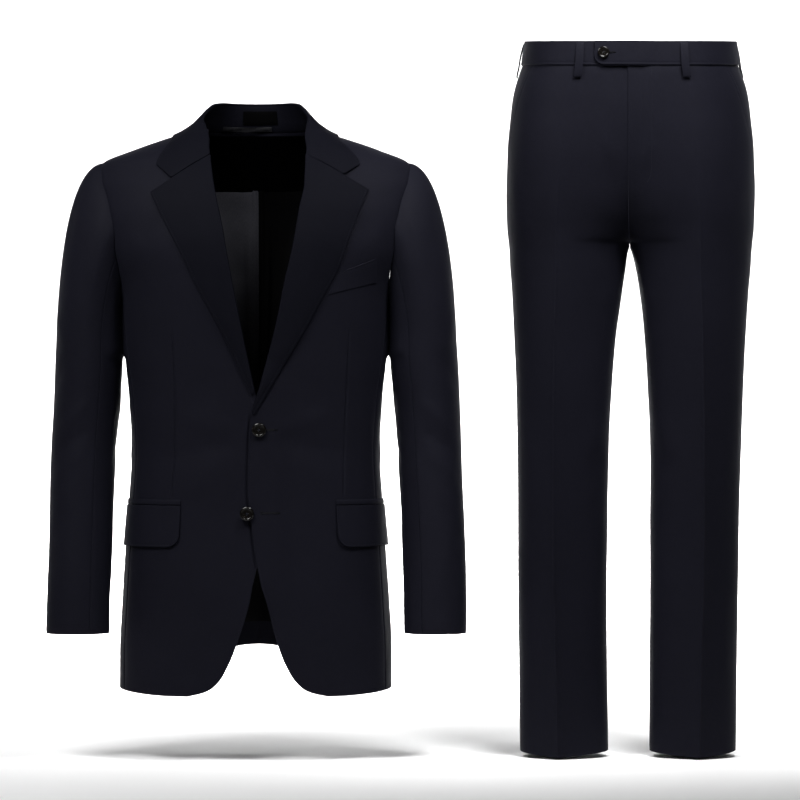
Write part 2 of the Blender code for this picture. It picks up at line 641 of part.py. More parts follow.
def collar_fall():
    """The turned down collar, from its fold to its outer edge, round the back of the neck."""
    half = np.array([0, 160, 320, 450, 560, 660, 740, 820, 900, 960, 1000]) * MM
    station = np.concatenate([-half[:0:-1], half])
    down = np.linspace(0, 1, 7)[:, None]
    side = np.sign(station) + (station == 0)
    at = np.abs(station)
    fold_height, fold_angle, edge_height, edge_angle = (
        smooth(at, COLLAR["station"], COLLAR[name])
        for name in ("fold_height", "fold_angle", "edge_height", "edge_angle"))
    fold_angle = fold_angle / MM
    edge_angle = edge_angle / MM
    height = fold_height + (edge_height - fold_height) * down
    angle = fold_angle + (edge_angle - fold_angle) * down
    point = torso(height, angle)
    shift = COLLAR_SHIFT * ease((at - COLLAR_TURN) / (COLLAR_LENGTH - COLLAR_TURN))
    x = point[..., 0] + side * shift
    for end in (0, -1):
        way = side[end]
        corner_x = GORGE_CORNER_X + way * COLLAR_SHIFT
        fold_x = x[0, end]
        tip_x = x[-1, end]
        corner_height = gorge_line(corner_x, way) + COLLAR_SEAM
        fold_end = gorge_line(fold_x, way) + COLLAR_SEAM
        tip_height = height[-1, end]
        share = down[:, 0]
        first = np.clip(share / GORGE_SHARE, 0, 1)
        second = np.clip((share - GORGE_SHARE) / (1 - GORGE_SHARE), 0, 1)
        x[:, end] = fold_x + (corner_x - fold_x) * first + (tip_x - corner_x) * second
        height[:, end] = (fold_end + (corner_height - fold_end) * first
                          + (tip_height - corner_height) * second)
    in_front = at > COLLAR_FRONT
    angle = np.where(in_front & (angle < COLLAR_SIDE_ANGLE), front_angle(x, height), angle)
    angle = np.where(side < 0, 360 - angle, angle)
    gap = COLLAR_GAP + COLLAR_BELLY * np.sin(np.pi * down)
    return laid("collar_fall", height, angle, gap)


def collar_stand():
    """The inner band of the collar, standing on the neck seam up to the fold."""
    angle = np.linspace(STAND_END, 360 - STAND_END, 19)
    away = np.minimum(angle, 360 - angle)
    fold = smooth(away, COLLAR["fold_angle"][::-1] / MM, COLLAR["fold_height"][::-1])
    share = np.linspace(0, 1, 5)[:, None]
    height = STAND_FOOT + (fold - STAND_DROP - STAND_FOOT) * share
    grid = torso(height, angle)
    return wall("collar_stand", grid, torso_normal(height, angle), 0, THIN_WALL, NO_EDGES)


def lining_wall(name, height, angle, edges):
    """A lining piece, its wall just inside the cloth."""
    grid = torso(height, angle)
    return wall(name, grid, torso_normal(height, angle), -(WALL + LINING_GAP), LINING_WALL, edges)


def lining():
    """The back lining in two halves, the yoke above it, the plain neck label and the hanger loop."""
    levels, start = back_rows()
    low = (levels < YOKE_SEAM) & (levels > LINING_FOOT)
    for side, word in ((1, "left"), (-1, "right")):
        angle = side * (start[low, None] + (180 - start[low])[:, None] * BACK_ACROSS[1:])
        height = toward_hem(levels[low, None], angle)
        lining_wall("back_lining_" + word, height, angle, (0, 1, 0, 1))
    high = levels >= YOKE_SEAM - YOKE_LAP
    half = start[high, None] + (180 - start[high])[:, None] * BACK_ACROSS[1:]
    angle = np.concatenate([half, 360 - half[:, -2::-1]], axis=1)
    height = levels[high, None] + 0 * angle
    lining_wall("back_yoke_lining", height, angle, (0, 0, 2, 6))
    label_angle = np.linspace(*LABEL_ANGLES, 5)
    label_height = np.linspace(*LABEL_HEIGHTS, 3)[:, None] + 0 * label_angle
    label_grid = torso(label_height, label_angle)
    wall("neck_label", label_grid, torso_normal(label_height, label_angle),
         -(THIN_WALL + LABEL_GAP), LINING_WALL, NO_EDGES)
    hanger_angle = np.linspace(*HANGER_ANGLES, HANGER_COLUMNS)
    hanger_height = np.linspace(*HANGER_HEIGHTS, 2)[:, None] + 0 * hanger_angle
    hanger_grid = torso(hanger_height, hanger_angle)
    bow = HANGER_BOW * np.sin(np.pi * np.linspace(0, 1, HANGER_COLUMNS))
    wall("hanger_loop", hanger_grid, torso_normal(hanger_height, hanger_angle),
         -(THIN_WALL + HANGER_GAP + bow), LINING_WALL, NO_EDGES)


def arc_angles(height, start, length, shares):
    """Angles along the form at one height, at shares of a length measured round it."""
    fine = np.linspace(start, start + 90, 400)
    line = torso(np.full(fine.shape, height), fine)
    run = np.concatenate([[0], np.cumsum(np.linalg.norm(np.diff(line, axis=0), axis=1))])
    return np.interp(shares * length, run, fine)


def pockets():
    """Hip pocket flaps with rounded corners, the jets above them, and the slanted breast welt."""
    for side, word in ((1, "left"), (-1, "right")):
        start = front_angle(FLAP_FRONT[side], FLAP_TOP)
        along = np.array([0, 0.015, 0.05, 0.116, 0.25, 0.4, 0.55, 0.7, 0.884, 0.95, 0.985, 1])
        angle = arc_angles(FLAP_TOP, start, FLAP_LENGTH, along)
        from_end = np.minimum(along, 1 - along) * FLAP_LENGTH
        inset = np.clip(FLAP_CORNER - from_end, 0, None)
        bottom = FLAP_BOTTOM + FLAP_CORNER - np.sqrt(np.maximum(FLAP_CORNER**2 - inset**2, 0))
        down = np.linspace(0, 1, 4)[:, None]
        height = FLAP_TOP + (bottom - FLAP_TOP) * down
        laid("pocket_flap_" + word, height[::-1], side * angle, LAY_GAP + FLAP_KICK * down[::-1])
        jet_angle = arc_angles(JET_TOP, start, FLAP_LENGTH + JET_END, np.linspace(0, 1, 9))
        jet_height = np.array([JET_BOTTOM, JET_TOP])[:, None] + 0 * jet_angle
        laid("pocket_jet_" + word, jet_height, side * jet_angle, LAY_GAP)
    across = np.linspace(0, 1, 6)
    up = np.linspace(0, 1, 3)[:, None]
    low = np.array(WELT_BOTTOM)
    high = np.array(WELT_TOP)
    x, height = ((1 - up) * (low[0, k] * (1 - across) + low[1, k] * across)
                 + up * (high[0, k] * (1 - across) + high[1, k] * across) for k in (0, 1))
    laid("breast_welt", height, front_angle(x, height), LAY_GAP)


# Buttons: radius against height above the seat, from the shank out over the rim to the dished middle.
BUTTON_PROFILE = ((0, 0), (2, 0), (2, 1), (8.2, 1), (10, 2.4), (9.6, 3.9), (7.4, 4.2), (6.2, 3.3), (0, 3.3))


def button(name, seat, normal, scale=1.0, shank=0.0):
    """A turned button on its shank, its axis along the cloth's outward direction."""
    profile = np.array(BUTTON_PROFILE) * MM * scale
    profile[:2, 1] -= shank
    side = np.cross(normal, (0, 0, 1))
    side /= np.linalg.norm(side)
    up = np.cross(side, normal)
    turn = np.linspace(0, 2 * np.pi, 20, endpoint=False)
    ring = np.cos(turn)[:, None] * side + np.sin(turn)[:, None] * up
    rim = seat + profile[1:-1, 0][:, None, None] * ring + profile[1:-1, 1][:, None, None] * normal
    rows, count = rim.shape[:2]
    ends = seat + profile[[0, -1], 1][:, None] * normal
    points = np.concatenate([rim.reshape(-1, 3), ends])
    number = np.arange(rows * count).reshape(rows, count)
    number = np.concatenate([number, number[:, :1]], axis=1)
    quads = quads_of(number)
    foot = np.full(count, rows * count)
    bottom = np.stack([foot, number[0, 1:], number[0, :-1]], axis=-1)
    top = np.stack([foot + 1, number[-1, :-1], number[-1, 1:]], axis=-1)
    faces = np.concatenate([quads[:, [0, 1, 2]], quads[:, [0, 2, 3]], bottom, top])
    return add_piece(name, points, outwards(points, faces))


def jacket_buttons():
    """The upper button on the upper front's face, the lower one on a longer shank from the under front."""
    buttons = (("jacket_button_top", TOP_BUTTON, 0.0), ("jacket_button_low", LOW_BUTTON, LAP_LIFT))
    for name, (x, height), shank in buttons:
        angle = np.sign(x) * front_angle(abs(x), height)
        seat = torso(np.array(height), np.array(angle))
        normal = torso_normal(np.array(height), np.array(angle))
        button(name, seat + normal * (LAP_LIFT + BUTTON_SEAT), normal, 1.0, shank)


def leg(side, p, height):
    """A point of the trousers. P runs from the back middle or inseam, -1, past the outseam, 0, to the
    front, 1. Each quarter is two cubic curves: outseam to crease, then crease to inseam or middle seam."""
    front = p > 0
    u = np.abs(p)
    read = {name: smooth(height, LEGS["height"], LEGS[name]) for name in LEGS if name != "height"}
    sharp = np.where(front, smooth(height, CREASE["height"], CREASE["front"]),
                     smooth(height, CREASE["height"], CREASE["back"])) / MM / 1000
    depth = np.where(front, read["front"], read["back"])
    middle = np.where(front, read["middle_front"], read["middle_back"])
    crease = read["crease_in"]
    word = "left" if side > 0 else "right"
    outer = read["outer"] + smooth(height, LEG_TRIM["height"], LEG_TRIM[word + "_outer"])
    trim = smooth(height, LEG_TRIM["height"], LEG_TRIM[word + "_inner"])
    inner = np.maximum(read["inner"] - trim, CROTCH_SPACE)
    out_half = u < 0.5
    t = np.where(out_half, 2 * u, 2 * u - 1)
    closed = (depth - middle) / depth
    x = [np.where(out_half, a, b) for a, b in (
        (outer, crease), (outer, crease - (crease - inner) * ROUND),
        (crease + (outer - crease) * ROUND, inner + (1 - closed) * FORK_ROUND * crease), (crease, inner))]
    y = [np.where(out_half, a, b) for a, b in (
        (0 * depth, depth), (ROUND * depth, depth * (1 - sharp)),
        (depth * (1 - sharp), middle + closed * ROUND * depth), (depth, middle))]
    weight = ((1 - t)**3, 3 * t * (1 - t)**2, 3 * t * t * (1 - t), t**3)
    px = sum(w * v for w, v in zip(weight, x))
    py = sum(w * v for w, v in zip(weight, y))
    y = np.where(front, -py, py)
    forward = np.clip(-y / FRONT_SKEW_DEPTH, 0, None)
    dip = WAIST_DIP * np.minimum(forward, 1) * ease((height - WAIST_DIP_FOOT) / WAIST_DIP_RUN)
    return np.stack([TROUSERS_X + side * px + FRONT_SKEW * forward, y, height - dip], axis=-1)


def leg_normal(side, p, height):
    """The outward direction of the trousers' form."""
    p = np.clip(p, -0.998, 0.998)
    height = np.clip(height, TROUSER_HEM + 1 * MM, WAIST_TOP - 1 * MM)
    normal = outward(lambda a, b: leg(side, a, b), p, height, 0.002, 0.5 * MM)
    return -side * normal


LEG_LEVELS = np.array([-880, -800, -700, -600, -500, -400, -320, -250, -205, -178, -165, -156, -142, -120,
                       -85, -40, 10, 50, 92.3]) * MM


def hem_dip(height, p):
    """The hem hangs a little lower at the pressed folds."""
    near = 1 - np.clip(np.abs(np.abs(p) - 0.5) / HEM_DIP_SHARE, 0, 1)
    return height - HEM_DIP * near * ease((HEM_DIP_TOP - height) / HEM_DIP_RUN)


def pocket_mouth(height):
    """How far the slanted pocket mouth lies in front of the outseam, as a share of the quarter."""
    return POCKET_SHARE * np.clip((height - POCKET_BOTTOM) / (WAIST_SEAM - POCKET_BOTTOM), 0, 1)


def trouser_panels():
    """Front and back of each leg, and the facing behind each slanted pocket mouth."""
    across = np.array([0, 0.07, 0.16, 0.27, 0.39, 0.5, 0.61, 0.74, 0.88, 1])
    for side, word in ((1, "left"), (-1, "right")):
        level = LEG_LEVELS[:, None].copy()
        level[-1] -= BAND_GAP
        start = pocket_mouth(level)
        p = np.where(across < 0.5, start + (0.5 - start) * across / 0.5, across)
        height = hem_dip(level + 0 * p, p)
        wall("trousers_front_" + word, leg(side, p, height), leg_normal(side, p, height), edges=BOTH_SIDES)
        back = -across + 0 * level
        height = hem_dip(level + 0 * back, back)
        wall("trousers_back_" + word, leg(side, back, height), leg_normal(side, back, height),
             edges=BOTH_SIDES)
        facing_level = np.linspace(POCKET_BOTTOM + FACING_FOOT, WAIST_SEAM - BAND_GAP, 6)[:, None]
        facing = pocket_mouth(facing_level) * np.linspace(0, 1, 4)
        height = facing_level + 0 * facing
        wall("pocket_facing_" + word, leg(side, facing, height), leg_normal(side, facing, height),
             -POCKET_SINK, THIN_WALL, edges=(1, 1.5, 0, 0))


def front_share(side, x, height):
    """Where on a quarter of the front a distance x from the trousers' middle falls."""
    fine = np.linspace(0.3, 1, 300)
    line = leg(side, fine, np.full(fine.shape, height))[:, 0] - TROUSERS_X
    order = np.argsort(line)
    return np.interp(x, line[order], fine[order])


def waistband():
    """The band in two halves, the upper one running past the middle to a rounded, buttoned end."""
    middle = (WAIST_SEAM + WAIST_TOP) / 2
    quarter = np.array([0, 0.07, 0.16, 0.27, 0.39, 0.5, 0.64, 0.82, 1])
    own = np.concatenate([-quarter[:0:-1], quarter])
    up = np.linspace(0, 1, 4)[:, None]
    height = WAIST_SEAM + (WAIST_TOP - WAIST_SEAM) * up + 0 * own
    wall("waistband_right", leg(-1, own, height), leg_normal(-1, own, height), BAND_LIFT, edges=FIRST_SIDE)
    end = front_share(-1, TAB_END, middle)
    past = 1 + (1 - end) * np.array([0.2, 0.4, 0.58, 0.74, 0.84, 0.92, 0.975, 1])
    run = np.concatenate([own, past])
    line = run_point(run, np.full(run.shape, middle))
    from_end = line[:, 0] - line[-1, 0]
    inset = np.where(run > 0.8, np.clip(TAB_CORNER - from_end, 0, None), 0)
    foot = WAIST_SEAM + TAB_CORNER - np.sqrt(TAB_CORNER**2 - inset**2)
    height = foot + (WAIST_TOP - foot) * up
    run = run + 0 * height
    grid = run_point(run, height)
    x = grid[..., 0] - TROUSERS_X
    lift = BAND_LIFT + TAB_LIFT * np.where(run > 0, ease((TAB_FADE - x) / TAB_FADE), 0)
    own_normal = leg_normal(1, np.minimum(run, 1), height)
    normal = np.where((run > 1)[..., None], leg_normal(-1, 2 - run, height), own_normal)
    wall("waistband_left", grid, normal, lift, edges=FIRST_SIDE)
    share = front_share(-1, TAB_BUTTON[0], TAB_BUTTON[1])
    seat = leg(-1, np.array(share), np.array(TAB_BUTTON[1]))
    out = leg_normal(-1, np.array(share), np.array(TAB_BUTTON[1]))
    button("waistband_button", seat + out * (BAND_LIFT + TAB_LIFT + BUTTON_SEAT), out, BAND_BUTTON_SCALE)


def run_point(run, height):
    """The band's run: up to 1 on the viewer's right half, past 1 on the other half."""
    past = leg(-1, np.clip(2 - run, -1, 1), height)
    return np.where((run > 1)[..., None], past, leg(1, np.clip(run, -1, 1), height))


# Belt loops: name, side and where each is on its half.
LOOPS = (("front_left", 1, 70.4), ("front_right", -1, -76.9), ("side_left", 1, None),
         ("side_right", -1, None), ("back_left", 1, None), ("back_right", -1, None),
         ("back_middle", 1, None))
LOOP_SHARES = {"side": -0.06, "back": -0.62, "back_middle": -0.999}


def belt_loops():
    """Narrow straps that stand off the band, fastened at both ends."""
    for name, side, x in LOOPS:
        if x is None:
            share = LOOP_SHARES.get(name, LOOP_SHARES.get(name.split("_")[0]))
        else:
            share = float(front_share(side, x * MM, (LOOP_TOP + LOOP_BOTTOM) / 2))
        up = np.linspace(0, 1, 9)
        height = LOOP_BOTTOM + (LOOP_TOP - LOOP_BOTTOM) * up
        p = np.full(up.shape, share)
        middle = leg(side, p, height)
        if name == "back_middle":
            middle[:, 0] = TROUSERS_X
        normal = leg_normal(side, p, height)
        normal[:, 2] = 0
        normal /= np.linalg.norm(normal, axis=1, keepdims=True)
        level_way = np.cross((0, 0, 1), normal)
        across = np.linspace(-0.5, 0.5, 3)[:, None, None] * LOOP_WIDTH
        grid = (middle + across * level_way).transpose(1, 0, 2)
        out = np.repeat(normal[:, None], 3, axis=1)
        off = LOOP_REST + LOOP_STAND * np.sin(np.pi * up)**0.7
        wall("belt_loop_" + name, grid, out, (off + THIN_WALL)[:, None], THIN_WALL, NO_EDGES)


def jacket_body():
    """The two fronts, the two side bodies and the two backs."""
    front_panel("jacket_front_left", 1, OVER_EDGE)
    front_panel("jacket_front_right", -1, UNDER_EDGE)
    for side, word in ((1, "left"), (-1, "right")):
        side_panel("jacket_side_" + word, side)
        back_panel("jacket_back_" + word, side)


def clear_scene():
    """Start from an empty scene."""
    for old in list(bpy.data.objects):
        bpy.data.objects.remove(old)


clear_scene()
jacket_body()
sleeves()
lapel("lapel_left", 1, OVER_LAPEL, OVER_GORGE_TOP, OVER_EDGE, OVER_BREAK)
lapel("lapel_right", -1, UNDER_LAPEL, UNDER_GORGE_TOP, UNDER_EDGE, UNDER_BREAK)
collar_fall()
collar_stand()
lining()
pockets()
jacket_buttons()
trouser_panels()
waistband()
belt_loops()
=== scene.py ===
import bpy
import numpy as np
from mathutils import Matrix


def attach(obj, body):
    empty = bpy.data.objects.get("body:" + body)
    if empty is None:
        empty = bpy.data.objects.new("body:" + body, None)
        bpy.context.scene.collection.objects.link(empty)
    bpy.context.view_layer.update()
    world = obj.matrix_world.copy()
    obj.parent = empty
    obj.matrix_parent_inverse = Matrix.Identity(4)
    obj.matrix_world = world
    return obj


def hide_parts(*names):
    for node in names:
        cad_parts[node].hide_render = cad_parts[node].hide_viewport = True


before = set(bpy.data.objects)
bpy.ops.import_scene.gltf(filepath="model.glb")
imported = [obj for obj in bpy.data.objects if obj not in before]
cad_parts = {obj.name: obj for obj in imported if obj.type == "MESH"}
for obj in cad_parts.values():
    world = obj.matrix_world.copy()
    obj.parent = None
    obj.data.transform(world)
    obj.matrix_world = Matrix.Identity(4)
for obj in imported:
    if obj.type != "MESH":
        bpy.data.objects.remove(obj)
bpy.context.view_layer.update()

MM = 0.001
SIDES = (("left", 1), ("right", -1))

# Thicknesses of cloth, and how far laid pieces stand off the form.
CLOTH = 1.8 * MM
THIN_CLOTH = 1.4 * MM
LINING_CLOTH = 0.8 * MM
BAND_CLOTH = 2.0 * MM
THIN_WALL = 1.6 * MM
LAY_GAP = 1.0 * MM
LAP_LIFT = 3.4 * MM

# Levels and lines of the jacket. Tau is the angle round the armhole.
HEM_FRONT = -797 * MM
HEM_SIDE = -790.5 * MM
HEM_BACK = -737 * MM
WAIST_LEVEL = -454 * MM
JOIN_LEVEL = -290 * MM
SHOULDER_ANGLE = 90.0
ARMHOLE_CENTRE = -144 * MM
ARMHOLE_HALF_HEIGHT = 97 * MM
ARMHOLE_FRONT_DEPTH = 70 * MM
ARMHOLE_BACK_DEPTH = 66 * MM
ARMHOLE_OUT = 0.5 * MM
FRONT_SEAM_TAU = 155.0
BACK_SEAM_TAU = 130.0
SLEEVE_RING_TOP = -300 * MM
SLEEVE_END = -711 * MM
SLEEVE_MIDDLE = 240 * MM
FORE_SEAM_TAU = 116.25

# Levels and shapes of the trousers. ROUND is the reach of each cubic curve's inner points.
TROUSERS_X = 531 * MM
WAIST_TOP = 126 * MM
WAIST_SEAM = 92.3 * MM
TROUSER_HEM = -880 * MM
HEM_DIP = 6 * MM
WAIST_DIP = 9 * MM
LEG_TURN = 9 * MM
LEG_GAP = 0.25 * MM
LEG_FRONT_DEPTH = 115 * MM
POCKET_BOTTOM = -85 * MM
ROUND = 0.56


def table(columns, *rows):
    """Named columns from rows of millimetres, in rising order of the first column."""
    values = np.array(sorted(rows), dtype=float)
    return {name: values[:, i] * MM for i, name in enumerate(columns.split())}


def read_table(source, at):
    """Every other column of a table, read at places on its first column."""
    key = next(iter(source))
    return {name: smooth(at, source[key], column) for name, column in source.items() if name != key}


def line_x(line, height):
    """How far to the side a line drawn on a front lies at a height."""
    return smooth(height, line["height"], line["x"])


def smooth(x, xs, ys):
    """A curve through the points that never overshoots them: cubic pieces with limited slopes."""
    step = np.diff(xs)
    slope = np.diff(ys) / step
    product = slope[:-1] * slope[1:]
    total = slope[:-1] + slope[1:]
    inner = np.where(product > 0, 2 * product / np.where(total == 0, 1, total), 0)
    tangent = np.concatenate([slope[:1], inner, slope[-1:]])
    x = np.clip(x, xs[0], xs[-1])
    i = np.clip(np.searchsorted(xs, x, side="right") - 1, 0, len(step) - 1)
    h = step[i]
    t = (x - xs[i]) / h
    return ((2 * t**3 - 3 * t**2 + 1) * ys[i] + (t**3 - 2 * t**2 + t) * h * tangent[i]
            + (3 * t**2 - 2 * t**3) * ys[i + 1] + (t**3 - t**2) * h * tangent[i + 1])


def ease(t):
    """0 to 1 with level ends."""
    t = np.clip(t, 0, 1)
    return t * t * (3 - 2 * t)


def fade(share, first, last):
    """1 inside a piece, easing to 0 over a first share at its start and a last share at its end."""
    return ease(share / first) * ease((1 - share) / last)


def ridge(distance, height, width):
    """A soft ridge, or a groove where its height is negative: height * exp(-(distance / width)^2)."""
    return height * np.exp(-(distance / width)**2)


def unit(vectors):
    """Vectors divided by their own lengths."""
    return vectors / np.maximum(np.linalg.norm(vectors, axis=-1, keepdims=True), 1e-12)


def crowded(count, marks=(), pull=7.0, reach=0.02):
    """Shares from 0 to 1 that lie closer together near each mark: equal steps of a summed density."""
    fine = np.linspace(0, 1, 4000)
    density = 1 + sum(pull * np.exp(-((fine - mark) / reach)**2) for mark in marks) + 0 * fine
    run = np.concatenate([[0], np.cumsum((density[1:] + density[:-1]) / 2)])
    return np.interp(np.linspace(0, 1, count), run / run[-1], fine)


# The garments' form: the same sections and lines as the solids

# Roundness, crease sharpness and the collar's stations are no lengths and stand here times 1000, and the
# collar's angles are in degrees.
TORSO = table(
    "height half front back front_round back_round",
    (-800, 193, 122, 122, 2300, 2300), (-738, 193, 122, 123, 2300, 2300),
    (-667, 189.5, 122, 122, 2300, 2300), (-596, 185, 121, 117, 2300, 2300),
    (-525, 180, 119, 110, 2300, 2300), (-454, 176, 118, 104, 2300, 2200),
    (-383, 179, 121, 106, 2300, 2200), (-327, 185, 125, 111, 2300, 2200),
    (-270, 189.5, 130, 117, 2300, 2200), (-241, 191.5, 132, 119, 2300, 2200),
    (-220, 197, 133, 120, 2250, 2200), (-200, 207, 133.5, 120.5, 2200, 2200),
    (-170, 221, 132, 120, 2200, 2200), (-124, 230, 122, 115, 2200, 2200),
    (-85, 231, 106, 106, 2100, 2100), (-60, 224, 90, 98, 2000, 2000), (-47, 217, 79, 93, 1950, 1900),
    (-28, 172, 64, 86, 1900, 1800), (-14, 131, 51, 80, 1900, 1800), (-4, 102, 42, 76, 1900, 1800),
    (8, 83, 32, 71, 1900, 1900), (22, 72.5, 26, 68, 2000, 2000), (45, 60, 24, 66, 2000, 2000))
OVER_EDGE = table(
    "height x",
    (20, 70), (-37, 71.5), (-81, 70.5), (-115, 64), (-172, 54.5), (-213, 45), (-282, 30.8), (-360, 10),
    (-408, -2.8), (-449, -5.6), (-506, -7), (-527, -5.6), (-568, -0.7), (-610, 5.2), (-641, 11.2),
    (-668, 19.5), (-717, 32), (-745, 41.7), (-759, 48.4), (-773, 57), (-787, 71.2), (-792.4, 83.5),
    (-797, 104))
UNDER_EDGE = table(
    "height x",
    (20, -66), (-37, -61.6), (-90, -53.5), (-137, -43.1), (-185, -34.4), (-286, -15.1), (-372, 2.8),
    (-420, 13), (-470, 17), (-520, 17), (-570, 13), (-616, 5.6), (-641, -0.5), (-668, -5.5),
    (-717, -20.4), (-745, -30.8), (-759, -37.5), (-773, -45.5), (-787, -60), (-792.4, -72.3), (-797, -92))
SLEEVE = table(
    "height left_outer left_inner right_outer right_inner half_depth forward",
    (-300, 285, 190.5, 283, 189, 69, 2), (-327, 286.5, 190.3, 284.3, 189, 68, 3),
    (-383, 289.2, 196, 286.3, 192.5, 64, 6), (-440, 291.5, 200, 289, 197, 59, 12),
    (-497, 293, 203.5, 290.2, 199.5, 55, 22), (-568, 296, 207.5, 290.8, 201.5, 51, 35),
    (-640, 298, 210, 292, 203.3, 48, 48), (-711, 298.3, 210, 293.5, 203.8, 46.5, 60))
LEGS = table(
    "height outer inner front back middle_front middle_back crease_in",
    (125, 150.5, 0, 112, 110, 112, 110, 76), (92.3, 154, 0, 114, 116, 114, 116, 78),
    (78, 157.6, 0, 115, 119, 115, 119, 80), (42.6, 165.7, 0, 116, 127, 116, 127, 84),
    (14, 169, 0, 116, 132, 115, 132, 88), (-28, 173, 0, 115, 136, 111, 135, 92),
    (-85, 174.3, 0, 110, 137, 97, 125, 97), (-120, 173.4, 0, 105, 134, 80, 106, 100),
    (-142, 172.5, 0, 101, 131, 60, 80, 101), (-156, 171, 0, 99, 128, 36, 50, 101),
    (-165, 170, 0, 98, 126, 0, 0, 101), (-172, 169.4, 2.5, 97, 124, 0, 0, 101),
    (-192, 168.6, 7.8, 95, 121, 0, 0, 101), (-227, 166, 14, 92, 116, 0, 0, 102),
    (-284, 163, 21.2, 89, 109, 0, 0, 104), (-355, 160, 27, 86, 102, 0, 0, 105),
    (-440, 157.6, 31.4, 82, 95, 0, 0, 106), (-532, 155.5, 32.6, 78, 89, 0, 0, 106),
    (-639, 154, 32.5, 74, 85, 0, 0, 105), (-745, 152.3, 32, 72, 82, 0, 0, 102),
    (-880, 150.5, 30.5, 71, 80, 0, 0, 99))
LEG_TRIM = table(
    "height left_outer left_inner right_outer right_inner",
    (126, 0, 0, -2.5, 0), (92, 0.5, 0, -1, 0), (60, 3.5, 0, 1, 0), (-60, 3.5, 0, 0.5, 0),
    (-120, 3.5, 0, 1.5, 0), (-165, 3.5, 0, 1.5, 0), (-200, 3, 0, 1.5, 3.2),
    (-240, 2.5, 0.3, 1.5, 3.8), (-300, 1.8, 1.5, 1.5, 2.5),
    (-350, 1.5, 2, 1.5, 2.4), (-450, 0.8, 2.8, 2.2, 2.2), (-560, 0, 4, 3.8, 1.2), (-660, 0, 4, 5, 0),
    (-700, 0, 4, 5.2, 0), (-880, 0, 3, 5.5, 0))
CREASE = table("height front back", (125, 0, 0), (20, 0, 0), (-85, 60, 0), (-200, 200, 120),
               (-400, 300, 280), (-880, 340, 340))
OVER_LAPEL = table("height x", (-89.4, 159.7), (-108, 151.4), (-160, 132), (-200, 118), (-234.5, 99),
                   (-283, 73), (-345, 36), (-404, 1.5))
UNDER_LAPEL = table("height x", (-93.8, 143.8), (-129.4, 126.2), (-181.6, 98.9), (-227.6, 76.5),
                    (-286, 44.4), (-340, 19), (-392, -5.5))
OVER_GORGE_TOP = (71.5 * MM, -38.5 * MM)
UNDER_GORGE_TOP = (62.6 * MM, -39.5 * MM)
OVER_BREAK = (-402 * MM, -402 * MM)
UNDER_BREAK = (-372 * MM, -376 * MM)
COLLAR = table(
    "station fold_height fold_angle edge_height edge_angle",
    (0, 41.5, 180, -9, 180), (180, 41.5, 160, -9, 162), (360, 41.5, 138, -9, 138), (520, 39, 115, -9, 110),
    (640, 28, 95, -9, 90), (760, 8, 78, -17, 77), (880, -16, 56, -33, 70.5), (1000, -37.5, 45, -54, 65.5))

# The collar's ends: their shift to the side, their gap at the seam, the share of an end that lies along the
# gorge, and how far out the notch has its corner.
COLLAR_SHIFT = 5 * MM
COLLAR_SEAM = -0.2 * MM
GORGE_SHARE = 0.68
GORGE_CORNER_X = 119.5 * MM


def half_and_depth(height, behind):
    """Half width, depth and roundness power of the jacket's section on its front or back half."""
    read = read_table(TORSO, height)
    depth = np.where(behind, read["back"], read["front"])
    return read["half"], depth, np.where(behind, read["back_round"], read["front_round"])


def torso(height, angle):
    """A point of the jacket's form, a super-ellipse at each height. The angle is 0 in front, 180 behind."""
    turn = np.radians(angle)
    sx = np.sin(turn)
    sy = -np.cos(turn)
    half, depth, power = half_and_depth(height, sy >= 0)
    reach = (np.abs(sx / half)**power + np.abs(sy / depth)**power)**(-1 / power)
    return np.stack([reach * sx, reach * sy, height + 0 * sx], axis=-1)


def outward(surface, a, b, step_a, step_b):
    """The direction at right angles to a surface of two parameters, from small steps along it."""
    along = surface(a + step_a, b) - surface(a - step_a, b)
    up = surface(a, b + step_b) - surface(a, b - step_b)
    return unit(np.cross(along, up))


def torso_normal(height, angle):
    """The outward direction of the jacket's form."""
    return outward(lambda a, h: torso(h, a), angle, height, 0.3, 0.4 * MM)


def front_angle(x, height):
    """The angle on the form's front at a distance x to the side of the middle."""
    half, depth, power = half_and_depth(height, False)
    share = np.clip(np.abs(x) / half, 0, 0.9999)
    return np.degrees(np.arctan2(x, depth * (1 - share**power)**(1 / power)))


def depth_angle(y, height):
    """The angle on the viewer's right side of the form at a depth y."""
    half, depth, power = half_and_depth(height, y > 0)
    x = half * (1 - np.clip(np.abs(y) / depth, 0, 1)**power)**(1 / power)
    return np.degrees(np.arctan2(x, -y))


def armhole(tau):
    """Height and depth on the armhole: tau 0 at the shoulder, 90 in front, 180 under the arm, 270 behind."""
    turn = np.radians(tau)
    c = np.cos(turn)
    s = np.sin(turn)
    narrow = 1 - 0.28 * np.maximum(c, 0) - 0.35 * np.maximum(c, 0)**4
    depth = np.where(s > 0, ARMHOLE_FRONT_DEPTH, ARMHOLE_BACK_DEPTH)
    return ARMHOLE_CENTRE + ARMHOLE_HALF_HEIGHT * c, -depth * s * narrow


def hem_height(angle):
    """The jacket's hem: level in front, a little higher at the side, rising to the middle of the back."""
    a = np.abs(angle)
    side = HEM_FRONT + (HEM_SIDE - HEM_FRONT) * ease((a - 48) / 42)
    return side + (HEM_BACK - HEM_SIDE) * ease((a - 80) / 100)


def toward_hem(level, angle):
    """A row's height: level at the waist, following the hem at the bottom."""
    share = np.clip((WAIST_LEVEL - level) / (WAIST_LEVEL - HEM_FRONT), 0, 1)
    return level + share * (hem_height(angle) - HEM_FRONT)


